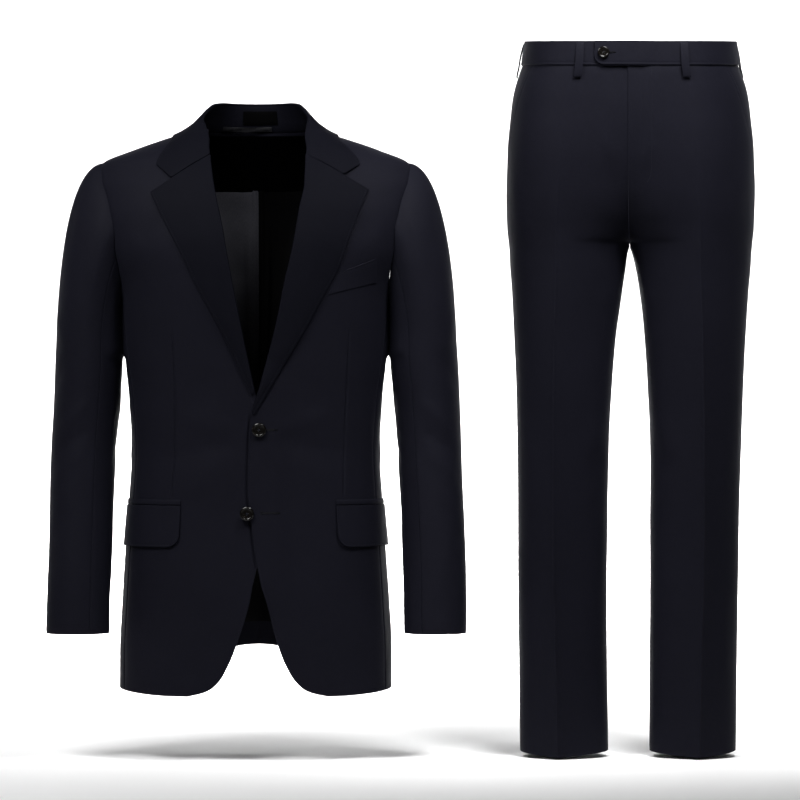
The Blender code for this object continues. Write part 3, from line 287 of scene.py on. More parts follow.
def lap_lift(x, height):
    """How far the upper front stands out where it lies over the under front: all of the lift near the
    middle, none past 60 mm to the side, above -325 mm or below -690 mm, with easing between."""
    across = ease((60 * MM - x) / (34 * MM))
    down = ease((-325 * MM - height) / (40 * MM)) * ease((height + 690 * MM) / (60 * MM))
    return LAP_LIFT * across * down


def sleeve(tau, row, word):
    """A point of a sleeve, drawn on the viewer's right. Row 0 to 1 is a cubic curve from the armhole,
    leaving outwards and ending downwards, and 1 to 2 goes down the arm through level ovals. Below 0 it goes
    straight on, inside the armhole, as the seam's turned in edge."""
    turn = np.radians(tau)
    c = np.cos(turn)
    s = np.sin(turn)
    level = SLEEVE_RING_TOP + (SLEEVE_END - SLEEVE_RING_TOP) * np.clip(row - 1, 0, 1)
    read = read_table(SLEEVE, level)
    outer = read[word + "_outer"]
    inner = read[word + "_inner"]
    ring = np.stack([(outer + inner) / 2 + (outer - inner) / 2 * c,
                     -read["forward"] - read["half_depth"] * s, level], axis=-1)
    height, y = armhole(tau)
    start = torso(height, depth_angle(y, height)) + np.array([ARMHOLE_OUT, 0, 0])
    reach = np.linalg.norm(ring - start, axis=-1)[..., None]
    top = (1 + c) / 2
    leave = np.stack([0.1 + 0.48 * top, -0.16 * s, -0.55 * (1 - top) - 0.06 * top], axis=-1) * reach
    arrive = np.stack([0.02 * top, 0 * c, 0 * c - 1], axis=-1) * reach
    t = np.clip(row, 0, 1)[..., None]
    cap = ((2 * t**3 - 3 * t**2 + 1) * start + (t**3 - 2 * t**2 + t) * leave
           + (3 * t**2 - 2 * t**3) * ring + (t**3 - t**2) * arrive + np.minimum(row, 0)[..., None] * leave)
    return np.where((row > 1)[..., None], ring, cap)


def leg(side, p, height):
    """A point of the trousers. P runs from the back middle or inseam, -1, past the outseam, 0, to the front
    middle or inseam, 1, with the pressed creases at -0.5 and 0.5. Each half quarter is a cubic curve."""
    front = p > 0
    u = np.abs(p)
    read = read_table(LEGS, height)
    crease_read = read_table(CREASE, height)
    trim = read_table(LEG_TRIM, height)
    word = "left" if side > 0 else "right"
    sharp = np.where(front, crease_read["front"], crease_read["back"])
    depth = np.where(front, read["front"], read["back"])
    middle = np.where(front, read["middle_front"], read["middle_back"])
    crease = read["crease_in"]
    outer = read["outer"] + trim[word + "_outer"]
    inner = np.maximum(read["inner"] - trim[word + "_inner"], LEG_GAP)
    out_half = u < 0.5
    t = np.where(out_half, 2 * u, 2 * u - 1)
    closed = (depth - middle) / depth
    x = [np.where(out_half, a, b) for a, b in (
        (outer, crease), (outer, crease - (crease - inner) * ROUND),
        (crease + (outer - crease) * ROUND, inner + (1 - closed) * 0.45 * crease), (crease, inner))]
    y = [np.where(out_half, a, b) for a, b in (
        (0 * depth, depth), (ROUND * depth, depth * (1 - sharp)),
        (depth * (1 - sharp), middle + closed * ROUND * depth), (depth, middle))]
    weight = ((1 - t)**3, 3 * t * (1 - t)**2, 3 * t * t * (1 - t), t**3)
    px = sum(w * v for w, v in zip(weight, x))
    py = sum(w * v for w, v in zip(weight, y))
    y = np.where(front, -py, py)
    forward = np.clip(-y / LEG_FRONT_DEPTH, 0, None)
    dip = WAIST_DIP * np.minimum(forward, 1) * ease((height + 60 * MM) / (120 * MM))
    return np.stack([TROUSERS_X + side * px - LEG_TURN * forward, y, height - dip], axis=-1)


def leg_normal(side, p, height):
    """The outward direction of the trousers' form."""
    p = np.clip(p, -0.998, 0.998)
    height = np.clip(height, TROUSER_HEM + 1 * MM, WAIST_TOP - 1 * MM)
    return -side * outward(lambda a, b: leg(side, a, b), p, height, 0.002, 0.5 * MM)


# Soft folds

def folds(u, v, rows):
    """Soft ridges and troughs, one for each row: a line from u0 v0 to u1 v1, rising by
    height * exp(-(distance / width)^2) and fading out over a third of its length at both ends."""
    total = 0 * u
    for u0, v0, u1, v1, width, height in np.array(rows, dtype=float) * MM:
        run = np.hypot(u1 - u0, v1 - v0)
        along = ((u - u0) * (u1 - u0) + (v - v0) * (v1 - v0)) / run**2
        across = ((u - u0) * (v1 - v0) - (v - v0) * (u1 - u0)) / run
        total += ridge(across, height, width) * fade(along, 1 / 3, 1 / 3)
    return total


def drape(u, v, size, phase):
    """The slow unevenness of hanging cloth: size times a sum of three crossed sine waves, 13 to 75 cm long
    and weighted 1, 0.7 and 0.5."""
    return size * (np.sin(u / 0.021 + phase + 0.8 * np.sin(v / 0.09)) * np.sin(v / 0.047 + 1.7 * phase)
                   + 0.7 * np.sin(u / 0.034 - v / 0.12 + 2.1 * phase)
                   + 0.5 * np.sin(v / 0.029 + u / 0.05 + 0.6 * phase))


def seam_dip(distance, depth=0.7 * MM, width=2.2 * MM):
    """A seam draws the cloth in: depth * exp(-distance / width)."""
    return -depth * np.exp(-np.abs(distance) / width)


def both_dips(share, size, first, last, width=2.2 * MM):
    """The seam dips at both sides of a piece of about this size, each with its own depth."""
    return seam_dip(share * size, first, width) + seam_dip((1 - share) * size, last, width)


# Materials

def new_material(name):
    """A material with its node tree and its one shader."""
    material = bpy.data.materials.new(name)
    material.use_nodes = True
    tree = material.node_tree
    return material, tree, tree.nodes["Principled BSDF"]


def add_node(tree, kind, **values):
    """A node with its named inputs set to constants or linked to another node's output."""
    made = tree.nodes.new(kind)
    for key, value in values.items():
        key = key.replace("_", " ")
        if isinstance(value, bpy.types.NodeSocket):
            tree.links.new(value, made.inputs[key])
        else:
            made.inputs[key].default_value = value
    return made


def scaled(tree, source, size, turn=0.0):
    """A map made denser by a size, and turned in its own plane."""
    mapping = add_node(tree, "ShaderNodeMapping", Vector=source, Scale=(size, size, size),
                       Rotation=(0, 0, turn))
    return mapping.outputs[0]


def toned(colour, share):
    """A colour with its three values multiplied by a share."""
    return [share * c for c in colour[:3]] + [1]


def bump(tree, strength, distance, height, under=None):
    """Small relief by shading, laid over an earlier one where there is one."""
    made = add_node(tree, "ShaderNodeBump", Strength=strength, Distance=distance, Height=height)
    if under:
        tree.links.new(under, made.inputs["Normal"])
    return made.outputs[0]


def mixed(tree, share, a, b):
    """Colour a where the share is 0, b where it is 1, and a blend between."""
    mix = tree.nodes.new("ShaderNodeMix")
    mix.data_type = "RGBA"
    for socket, value in ((mix.inputs[0], share), (mix.inputs[6], a), (mix.inputs[7], b)):
        if isinstance(value, bpy.types.NodeSocket):
            tree.links.new(value, socket)
        else:
            socket.default_value = value
    return mix.outputs[2]


def wool(name, dark, light, sheen, rough=0.62, gloss=0.03, twill=0.9 * MM):
    """Fine worsted twill: diagonal ribs on the cloth's own map, fibres across them, slow tone changes and
    a pressed nap, with constant sheen."""
    material, tree, shader = new_material(name)
    coords = tree.nodes.new("ShaderNodeTexCoord")
    ribs = add_node(tree, "ShaderNodeTexWave", Vector=scaled(tree, coords.outputs["UV"], 0.5 / twill, 0.9),
                    Scale=0.32, Distortion=0.6, Detail=1.0, Detail_Scale=2.0)
    fibre = add_node(tree, "ShaderNodeTexNoise", Vector=coords.outputs["UV"], Scale=1900.0, Detail=2.0)
    slub = add_node(tree, "ShaderNodeTexNoise", Vector=coords.outputs["Object"], Scale=240.0, Detail=3.0)
    slow = add_node(tree, "ShaderNodeTexNoise", Vector=coords.outputs["Object"], Scale=7.0, Detail=3.0)
    tone = mixed(tree, slow.outputs[0], dark, light)
    worn = mixed(tree, slub.outputs[0], toned(dark, 0.72), toned(light, 1.3))
    tone = mixed(tree, 0.45, tone, worn)
    shade = add_node(tree, "ShaderNodeMapRange", Value=ribs.outputs["Color"], To_Min=0.35, To_Max=0.65)
    tone = mixed(tree, shade.outputs[0], toned(dark, 0.6), tone)
    tree.links.new(tone, shader.inputs["Base Color"])
    roughness = add_node(tree, "ShaderNodeMapRange", Value=fibre.outputs[0], To_Min=rough - 0.07,
                         To_Max=rough + 0.09)
    tree.links.new(roughness.outputs[0], shader.inputs["Roughness"])
    relief = bump(tree, 0.35, 0.12 * MM, ribs.outputs["Fac"])
    relief = bump(tree, 0.25, 0.1 * MM, fibre.outputs[0], relief)
    relief = bump(tree, 0.25, 0.3 * MM, slub.outputs[0], relief)
    tree.links.new(relief, shader.inputs["Normal"])
    shader.inputs["Sheen Weight"].default_value = sheen
    shader.inputs["Sheen Roughness"].default_value = 0.45
    shader.inputs["Sheen Tint"].default_value = (0.55, 0.6, 0.9, 1)
    shader.inputs["Specular IOR Level"].default_value = gloss
    return material


def satin(name, dark, light, rough, spec=0.5, sheen=0.0):
    """Woven satin: very fine ribs along the cloth, slow tone changes and a soft gloss, and painted shade
    that turns it near black towards the hem."""
    material, tree, shader = new_material(name)
    coords = tree.nodes.new("ShaderNodeTexCoord")
    stretch = add_node(tree, "ShaderNodeMapping", Vector=coords.outputs["UV"], Scale=(2200, 260, 1))
    thread = add_node(tree, "ShaderNodeTexNoise", Vector=stretch.outputs[0], Scale=1.0, Detail=2.0)
    slow = add_node(tree, "ShaderNodeTexNoise", Vector=coords.outputs["Object"], Scale=16.0, Detail=2.0)
    tone = mixed(tree, slow.outputs[0], dark, light)
    tone = mixed(tree, thread.outputs[0], toned(dark, 0.8), tone)
    # Painted shade: from a height of -0.13 m down to -0.4 m the colour fades to near black, standing in for
    # the shade inside the jacket's lower back.
    place = add_node(tree, "ShaderNodeSeparateXYZ", Vector=coords.outputs["Object"])
    rise = add_node(tree, "ShaderNodeMapRange", Value=place.outputs[2], From_Min=-0.4, From_Max=-0.13)
    tone = mixed(tree, rise.outputs[0], (0.0004, 0.0004, 0.0005, 1), tone)
    tree.links.new(tone, shader.inputs["Base Color"])
    roughness = add_node(tree, "ShaderNodeMapRange", Value=thread.outputs[0], To_Min=rough - 0.06,
                         To_Max=rough + 0.08)
    tree.links.new(roughness.outputs[0], shader.inputs["Roughness"])
    tree.links.new(bump(tree, 0.2, 0.06 * MM, thread.outputs[0]), shader.inputs["Normal"])
    shader.inputs["Specular IOR Level"].default_value = spec
    shader.inputs["Sheen Weight"].default_value = sheen
    return material


def horn(name):
    """Dark polished horn: cloudy streaks of brown in near black, under a clear polish."""
    material, tree, shader = new_material(name)
    coords = tree.nodes.new("ShaderNodeTexCoord")
    streak = add_node(tree, "ShaderNodeMapping", Vector=coords.outputs["Object"], Scale=(320, 120, 90),
                      Rotation=(0.4, 0.2, 0.7))
    cloud = add_node(tree, "ShaderNodeTexNoise", Vector=streak.outputs[0], Scale=1.0, Detail=5.0,
                     Distortion=1.2)
    tone = mixed(tree, cloud.outputs[0], (0.0006, 0.0006, 0.0007, 1), (0.005, 0.004, 0.0032, 1))
    tree.links.new(tone, shader.inputs["Base Color"])
    rough = add_node(tree, "ShaderNodeMapRange", Value=cloud.outputs[0], To_Min=0.1, To_Max=0.22)
    tree.links.new(rough.outputs[0], shader.inputs["Roughness"])
    shader.inputs["Coat Weight"].default_value = 0.15
    shader.inputs["Specular IOR Level"].default_value = 0.2
    shader.inputs["Coat Roughness"].default_value = 0.05
    return material


def thread(name, colour):
    """Twisted sewing thread: fine slanting ply lines and a little gloss."""
    material, tree, shader = new_material(name)
    coords = tree.nodes.new("ShaderNodeTexCoord")
    ply = add_node(tree, "ShaderNodeTexWave", Vector=scaled(tree, coords.outputs["Object"], 900.0, 0.6),
                   Scale=1.0, Distortion=1.0)
    tone = mixed(tree, ply.outputs["Fac"], toned(colour, 0.55), colour)
    tree.links.new(tone, shader.inputs["Base Color"])
    tree.links.new(bump(tree, 0.3, 0.05 * MM, ply.outputs["Fac"]), shader.inputs["Normal"])
    shader.inputs["Roughness"].default_value = 0.6
    shader.inputs["Specular IOR Level"].default_value = 0.1
    return material


NAVY_DARK = (0.0052, 0.0052, 0.0085, 1)
NAVY_LIGHT = (0.0108, 0.0108, 0.0172, 1)
JACKET_WOOL = wool("jacket_worsted", NAVY_DARK, NAVY_LIGHT, 0.008)
# The collar, lapels and stand: a darker, less glossy copy of the jacket's wool, its darkness painted shade.
COLLAR_WOOL_SHADED = wool("collar_worsted_painted_shade", (0.0032, 0.0033, 0.0054, 1), (0.0066, 0.0067, 0.0108, 1), 0.0, 0.66,
                   0.02)
TROUSER_WOOL = wool("trouser_worsted", NAVY_DARK, NAVY_LIGHT, 0.008, 0.6)
# The yoke: a dark cloth, made near black and without gloss as painted shade inside the back.
BLACK_YOKE_AND_SHADE = wool("yoke_worsted_black_and_shade", (0.0003, 0.0003, 0.0004, 1), (0.0006, 0.0006, 0.0008, 1), 0.0, 0.9, 0.0)
# A lit and a near black copy of one charcoal satin for the two halves of the back lining: the near black one
# is painted shade.
LINING_SATIN = satin("charcoal_satin", (0.014, 0.014, 0.018, 1), (0.095, 0.095, 0.11, 1), 0.4, 0.06)
LINING_SATIN_SHADED = satin("charcoal_satin_painted_shade", (0.0002, 0.0002, 0.0003, 1),
(0.0022, 0.0022, 0.0027, 1), 0.5,
                          0.04)
LABEL_SATIN = satin("label_satin", (0.0004, 0.0004, 0.0005, 1), (0.0009, 0.0009, 0.0011, 1), 0.6, 0.02)
LOOP_SATIN = satin("loop_satin", (0.004, 0.004, 0.005, 1), (0.016, 0.016, 0.018, 1), 0.5, 0.1)
HORN = horn("dark_horn")
NAVY_THREAD = thread("navy_thread", (0.012, 0.0125, 0.02, 1))
BLACK_THREAD = thread("black_thread", (0.0025, 0.0025, 0.004, 1))
SILVER_THREAD = thread("grey_thread", (0.03, 0.03, 0.034, 1))


# Building pieces

def arc_lengths(points, axis):
    """Distance travelled along a grid's rows or columns from its first line, as a running sum."""
    step = np.linalg.norm(np.diff(points, axis=axis), axis=-1)
    first = np.zeros_like(np.take(step, [0], axis=axis))
    return np.concatenate([first, np.cumsum(step, axis=axis)], axis=axis)


def add_piece(name, points, faces, material, uv=None, node=None, sharp=50.0):
    """A smooth mesh object that rides on the one body, with its map and finish, hiding the solid of its
    node.
    """
    mesh = bpy.data.meshes.new(name)
    mesh.from_pydata(points.reshape(-1, 3), [], faces)
    if uv is not None:
        corner = np.empty(len(mesh.loops), dtype=np.int32)
        mesh.loops.foreach_get("vertex_index", corner)
        mesh.uv_layers.new(name="cloth").data.foreach_set("uv", uv.reshape(-1, 2)[corner].ravel())
    mesh.shade_smooth()
    mesh.set_sharp_from_angle(angle=np.radians(sharp))
    mesh.materials.append(material)
    piece = bpy.data.objects.new(name, mesh)
    bpy.context.scene.collection.objects.link(piece)
    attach(piece, "root")
    if node:
        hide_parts(node)
    return piece


def grid_quads(rows, cols, first=0, ring=False):
    """Four cornered faces between the rows and columns of a grid of points."""
    number = first + np.arange(rows * cols).reshape(rows, cols)
    if ring:
        number = np.concatenate([number, number[:, :1]], axis=1)
    corners = [number[:-1, :-1], number[:-1, 1:], number[1:, 1:], number[1:, :-1]]
    return np.stack(corners, axis=-1).reshape(-1, 4)


def shell(name, outer, inner, material, node=None, grain=None, softness=0.3, sharp=50.0):
    """A thin closed sheet: an outer grid, an inner grid and the rim between them. The rim is rounded by
    moving the border lines of both grids towards each other. Its map is the distance along the cloth."""
    rows, cols = outer.shape[:2]
    outer = outer.copy()
    inner = inner.copy()
    for line in ((0, slice(None)), (-1, slice(None)), (slice(1, -1), 0), (slice(1, -1), -1)):
        a = outer[line] * (1 - softness) + inner[line] * softness
        b = inner[line] * (1 - softness) + outer[line] * softness
        outer[line] = a
        inner[line] = b
    count = rows * cols
    number = np.arange(count).reshape(rows, cols)
    border = np.concatenate([number[0], number[1:, -1], number[-1, -2::-1], number[-2:0:-1, 0],
                             number[0, :1]])
    quads = grid_quads(rows, cols)
    rim = np.stack([border[1:], border[:-1], border[:-1] + count, border[1:] + count], axis=-1)
    faces = np.concatenate([quads, quads[:, ::-1] + count, rim])
    points = np.concatenate([outer.reshape(-1, 3), inner.reshape(-1, 3)])
    i, j = rows // 2, cols // 2
    face = np.cross(outer[i, j] - outer[i, j - 1], outer[i, j] - outer[i - 1, j])
    if np.dot(face, outer[i, j] - inner[i, j]) < 0:
        faces = faces[:, ::-1]
    if grain is None:
        grain = np.stack([arc_lengths(outer, 1), arc_lengths(outer, 0)], axis=-1)
    uv = np.concatenate([grain.reshape(-1, 2), grain.reshape(-1, 2)])
    return add_piece(name, points, faces, material, uv, node, sharp)


def declare(piece):
    """Return the piece as it is."""
    return piece


def cloth(name, grid, normal, material, node, relief=0.0, lift=0.0, thickness=CLOTH, held="hung",
          rests_on=(), softness=0.3):
    """A sheet on the form: the grid moved out along its normal by lift and relief, and its inner face."""
    off = (lift + relief) * np.ones(grid.shape[:2])
    outer = grid + normal * off[..., None]
    piece = shell(name, outer, outer - normal * thickness, material, node, softness=softness)
    return declare(piece)


def torso_cloth(name, height, angle, *values, **named):
    """A sheet on the jacket's form at these heights and angles."""
    return cloth(name, torso(height, angle), torso_normal(height, angle), *values, **named)


def leg_cloth(name, side, p, height, *values, **named):
    """A sheet of the trousers' wool on the legs' form, at these shares and heights."""
    return cloth(name, leg(side, p, height), leg_normal(side, p, height), TROUSER_WOOL, *values, **named)


def mirrored(grid, side):
    """The same points or directions, as their mirror image across the jacket's middle where side is -1."""
    return grid * np.array([side, 1, 1])


# Jacket body

LAPEL_EDGES = {1: OVER_LAPEL, -1: UNDER_LAPEL}
EDGE_GROOVE_OUT = 1.4 * MM
DARTS = {1: table("height x", (-279, 134), (-350, 131), (-432, 127.5), (-516, 126)),
         -1: table("height x", (-275, 115), (-328, 111.6), (-395, 110), (-463, 111), (-519, 115.6))}

# Folds on the fronts, in millimetres from the middle of the front and in height. Where a fold's own height
# is negative, it is a trough.
FRONT_FOLDS = {
    1: ((18, -430, 118, -398, 13, 1.1), (22, -438, 150, -462, 15, -1.0), (30, -452, 120, -508, 14, 0.8),
        (10, -446, 60, -560, 12, -0.8), (60, -330, 96, -420, 20, -0.9), (150, -300, 158, -460, 16, 1.0),
        (120, -110, 176, -160, 16, -1.2), (168, -120, 186, -216, 10, 1.1), (70, -600, 92, -770, 24, 1.0),
        (140, -610, 150, -780, 22, -1.0), (100, -150, 120, -240, 24, 0.8)),
    -1: ((-16, -432, -112, -404, 14, 1.0), (-20, -440, -150, -470, 14, -1.1),
         (-24, -455, -104, -520, 15, 0.9), (-4, -470, -50, -590, 13, -0.7),
         (-52, -330, -88, -410, 18, -0.9), (-146, -290, -152, -450, 18, 1.0),
         (-110, -118, -168, -170, 15, -1.1), (-160, -130, -180, -210, 10, 1.0),
         (-66, -610, -90, -770, 22, 1.1), (-132, -600, -146, -780, 24, -0.9),
         (-96, -160, -112, -250, 22, 0.7))}


def hem_levels(count):
    """Row heights over the last 46 mm above the hem, closer together towards it."""
    return HEM_FRONT + 46 * MM * np.linspace(0, 1, count)**2


def body_levels(taus):
    """Row heights from the hem to the neck: close together at the hem, then even, then up the armhole."""
    rows_up, depth = armhole(taus)
    hem = hem_levels(16)
    lower = np.linspace(hem[-1], JOIN_LEVEL, 120)[1:]
    join = np.linspace(JOIN_LEVEL, rows_up[0], 16)[1:-1]
    shoulder = np.linspace(rows_up[-1], 0, 20)[1:]
    levels = np.concatenate([hem, lower, join, rows_up, shoulder])
    below = len(hem) + len(lower) + len(join)
    return levels, below, rows_up, depth


def seam_angle(height, top_height, top_angle, waist_angle, hem_angle):
    """A long seam's angle from its top at the armhole, past the waist, down to the hem."""
    levels = np.array([HEM_FRONT, WAIST_LEVEL, top_height])
    return smooth(height, levels, np.array([hem_angle, waist_angle, top_angle]))


def armhole_top(tau):
    """Height and angle of a point of the armhole, where a long seam ends."""
    height, y = armhole(np.array(tau))
    return float(height), float(depth_angle(y, height))


FRONT_SEAM_TOP = armhole_top(FRONT_SEAM_TAU)
BACK_SEAM_TOP = armhole_top(-BACK_SEAM_TAU)
ROLL_INSET = 2.2 * MM


def front_seam_angle(height):
    """The angle of the seam between front and side body at a height."""
    return seam_angle(height, *FRONT_SEAM_TOP, 75.0, 76.0)


def back_seam_angle(height):
    """The angle of the seam between side body and back at a height."""
    return seam_angle(height, *BACK_SEAM_TOP, 109.0, 110.0)


def front_relief(side, x, z):
    """How far a front stands off the form away from its edges: folds, slow drape, grooves pressed by the
    lapel's edge and by the upper front's edge, and the waist dart, a narrow groove between two swellings."""
    dart_x = side * line_x(DARTS[side], z)
    foot, top = DARTS[side]["height"][[0, -1]]
    present = ease((top - z) / (30 * MM)) * ease((z - foot) / (8 * MM))
    outer = LAPEL_EDGES[side]
    lapel_x = side * (line_x(outer, z) + EDGE_GROOVE_OUT)
    pressed = ease((z - outer["height"][0]) / (20 * MM)) * ease((outer["height"][-1] - z) / (8 * MM))
    over_x = line_x(OVER_EDGE, z) - EDGE_GROOVE_OUT
    below = ease((-400 * MM - z) / (20 * MM)) * (side < 0)
    return (folds(x, z, FRONT_FOLDS[side]) + drape(x, z, 0.28 * MM, 1.1 * side)
            + pressed * ridge(x - lapel_x, -1.2 * MM, 1.6 * MM)
            + below * ridge(x - over_x, -2.0 * MM, 2.0 * MM)
            + present * (ridge(x - dart_x, 0.5 * MM, 10 * MM) + ridge(x - dart_x, -1.5 * MM, 1.4 * MM)))


def front(word, side, edge, break_height):
    """A front: rows from the hem to the shoulder, each running from the front edge past the waist dart and
    the lapel's edge to the side seam, armhole or shoulder seam, with columns crowded along all of them."""
    levels, below, rows_up, depth = body_levels(np.linspace(FRONT_SEAM_TAU, 0, 64))
    end = np.full(len(levels), SHOULDER_ANGLE)
    end[:below] = front_seam_angle(levels[:below])
    end[below:below + len(rows_up)] = depth_angle(depth, rows_up)
    edge_x = line_x(edge, levels) + side * ROLL_INSET * ease((levels - break_height) / (15 * MM))
    start = side * front_angle(edge_x, levels)
    width = end - start
    dart = front_angle(line_x(DARTS[side], levels), levels)
    dart = np.clip(dart, start + 0.3 * width, start + 0.75 * width)
    lapel_edge = front_angle(line_x(LAPEL_EDGES[side], levels) + EDGE_GROOVE_OUT, levels)
    lapel_edge = np.clip(lapel_edge, start + 0.1 * width, start + 0.88 * width)
    first = np.minimum(dart, lapel_edge)
    second = np.maximum(np.maximum(dart, lapel_edge), first + 0.03 * width)
    share = crowded(130, (0.0, 1 / 3, 2 / 3, 1.0), 7.0, 0.025)
    angle = start[:, None] + (first - start)[:, None] * np.clip(3 * share, 0, 1)
    angle = angle + (second - first)[:, None] * np.clip(3 * share - 1, 0, 1)
    angle = side * (angle + (end - second)[:, None] * np.clip(3 * share - 2, 0, 1))
    height = toward_hem(levels[:, None], angle)
    x = torso(height, angle)[..., 0]
    relief = front_relief(side, x, height) * fade(share, 0.06, 0.08)
    relief = relief + seam_dip((1 - share) * 0.2, 0.9 * MM, 1.8 * MM)
    if side > 0:
        relief = relief + lap_lift(x, height)
    torso_cloth("front_" + word + "_cloth", height, angle, JACKET_WOOL, "jacket_front_" + word, relief,
                rests_on=["jacket_side_" + word, "jacket_back_" + word], softness=0.12)


# Folds round the side and the back, in degrees round the form times 2.8 and in height.
ROUND_STEP = 2.8 * MM
SIDE_FOLDS = ((222, -300, 240, -430, 12, 1.1), (262, -290, 256, -420, 12, -1.1),
              (226, -470, 290, -440, 12, 1.0), (220, -560, 228, -760, 16, -0.9),
              (290, -540, 282, -770, 18, 1.0), (240, -470, 300, -520, 10, -0.8))
BACK_FOLDS = {
    1: ((330, -130, 350, -330, 20, 1.2), (300, -420, 420, -446, 13, 1.3), (330, -452, 470, -470, 14, -1.2),
        (350, -500, 380, -730, 22, 1.1), (430, -520, 446, -740, 22, -0.9), (380, -60, 430, -110, 16, 0.9),
        (310, -180, 324, -280, 12, -1.3), (400, -390, 480, -410, 12, 0.9)),
    -1: ((338, -126, 352, -310, 19, 1.1), (306, -412, 430, -436, 14, 1.2), (320, -448, 460, -476, 13, -1.2),
         (344, -510, 372, -730, 24, 1.0), (424, -500, 452, -740, 20, -1.0), (376, -56, 424, -104, 15, 0.9),
         (316, -186, 322, -274, 12, -1.2), (394, -396, 474, -404, 12, 0.8))}


def crowding(height):
    """Cloth pushed together under the arm, where the sleeve and the side touch."""
    below = np.clip((-200 * MM - height) / (118 * MM), 0, 1)
    present = ease((height + 327 * MM) / (12 * MM)) * ease((-160 * MM - height) / (25 * MM))
    return (2.4 + 1.4 * below) * MM * present


def side_body(word, side):
    """The side body: rows run from the front's seam to the back's seam and end on the armhole below the
    arm."""
    share = crowded(30, (0.0, 1.0), 5.0, 0.05)
    under = FRONT_SEAM_TAU + (360 - BACK_SEAM_TAU - FRONT_SEAM_TAU) * share
    top, depth = armhole(under)
    top_angle = depth_angle(depth, top)
    hem = hem_levels(12)
    levels = np.concatenate([hem, np.linspace(hem[-1], JOIN_LEVEL, 110)[1:]])
    angle = front_seam_angle(levels)[:, None] * (1 - share) + back_seam_angle(levels)[:, None] * share
    join = np.linspace(0, 1, 22)[1:, None]
    join_height = JOIN_LEVEL + (top - JOIN_LEVEL) * join
    low = front_seam_angle(join_height[:, :1]) * (1 - share) + back_seam_angle(join_height[:, -1:]) * share
    even = top_angle[0] * (1 - share) + top_angle[-1] * share
    angle = np.concatenate([angle, low + (top_angle - even) * ease(join)])
    height = np.concatenate([levels[:, None] + 0 * share, join_height])
    height = toward_hem(height, angle)
    round_form = angle * ROUND_STEP
    relief = folds(round_form, height, SIDE_FOLDS) + drape(round_form, height, 0.25 * MM, 2.2 * side)
    relief = relief * fade(share, 0.12, 0.12) + crowding(height) * fade(share, 0.25, 0.25)
    relief = relief + both_dips(share, 90 * MM, 0.5 * MM, 0.5 * MM)
    torso_cloth("side_" + word + "_cloth", height, side * angle, JACKET_WOOL, "jacket_side_" + word, relief,
                rests_on=["jacket_back_" + word])


def back(word, side):
    """A back: rows run from the side seam, armhole or shoulder seam to the middle back seam."""
    levels, below, rows_up, depth = body_levels(np.linspace(-BACK_SEAM_TAU, 0, 60))
    start = np.full(len(levels), SHOULDER_ANGLE)
    start[:below] = back_seam_angle(levels[:below])
    start[below:below + len(rows_up)] = depth_angle(depth, rows_up)
    share = crowded(70, (0.0, 1.0), 5.0, 0.03)
    angle = start[:, None] + (180 - start)[:, None] * share
    height = toward_hem(levels[:, None], angle)
    round_form = angle * ROUND_STEP
    relief = folds(round_form, height, BACK_FOLDS[side]) + drape(round_form, height, 0.3 * MM, side)
    relief = relief * fade(share, 0.08, 0.05) + both_dips(share, 250 * MM, 0.5 * MM, 0.6 * MM)
    torso_cloth("back_" + word + "_cloth", height, side * angle, JACKET_WOOL, "jacket_back_" + word, relief,
                rests_on=["collar_stand"])


# Sleeves

# How far a sleeve goes on inside the armhole, as a share of its cubic part.
TURNED_IN = 0.03

# Folds on the sleeves, in degrees round the armhole line times 0.9 and in height.
TAU_STEP = 0.9 * MM
SLEEVE_FOLDS = ((20, -90, 44, -190, 12, -1.2), (60, -110, 78, -230, 12, 1.3),
                (-30, -120, -10, -260, 14, 1.1), (10, -250, 60, -330, 12, 1.2),
                (70, -300, 10, -380, 11, -1.2), (96, -380, 40, -430, 9, 1.6),
                (100, -420, 30, -462, 9, -1.6), (92, -452, 30, -500, 9, 1.3),
                (70, -520, 20, -600, 12, -1.0), (50, -560, 84, -680, 12, 1.0),
                (-50, -300, -80, -430, 14, -1.2), (-90, -380, -40, -470, 11, 1.3),
                (-20, -480, -34, -650, 16, 0.9), (-100, -200, -84, -300, 12, 1.3),
                (130, -330, 180, -420, 10, 1.2), (190, -420, 140, -480, 10, -1.2),
                (150, -540, 170, -660, 14, 1.0), (190, -300, 196, -380, 10, -1.0))


def sleeve_cloth(piece_word, word, side, tau_start, tau_end, count):
    """A sleeve piece between its two long seams: rows from the armhole down to the cuff."""
    share = crowded(count, (0.0, 1.0), 5.0, 0.03)
    rows = np.concatenate([[-TURNED_IN, -TURNED_IN / 2], np.linspace(0, 1, 62)**1.15,
                           np.linspace(1, 2, 84)[1:]])
    tau, row = np.meshgrid(tau_start + (tau_end - tau_start) * share, rows)
    grid = sleeve(tau, row, word)
    normal = outward(lambda a, b: sleeve(a, b, word), tau, np.clip(row, 0.01, 1.99), 0.5, 0.005)
    away = (grid - np.array([SLEEVE_MIDDLE, 0, 0])) * np.array([1, 1, 0])
    normal = normal * np.sign(np.sum(normal * away, axis=-1).mean())
    u = tau * TAU_STEP
    z = grid[..., 2]
    relief = folds(u, z, SLEEVE_FOLDS) + drape(u, z, 0.3 * MM, 0.7 + side)
    relief = relief * fade(share, 0.07, 0.07) * ease(row / 0.2) * ease((2 - row) / 0.08)
    if piece_word == "under":
        relief = relief + crowding(z) * fade(share, 0.2, 0.2) * ease((row + TURNED_IN) / (2 * TURNED_IN))
    relief = relief + both_dips(share, 160 * MM, 0.25 * MM, 0.25 * MM, 1.2 * MM)
    cloth("sleeve_" + piece_word + "_" + word + "_cloth", mirrored(grid, side), mirrored(normal, side),
          JACKET_WOOL, "sleeve_" + piece_word + "_" + word, relief,
          rests_on=["jacket_front_" + word, "jacket_back_" + word])


# Lapels and collar

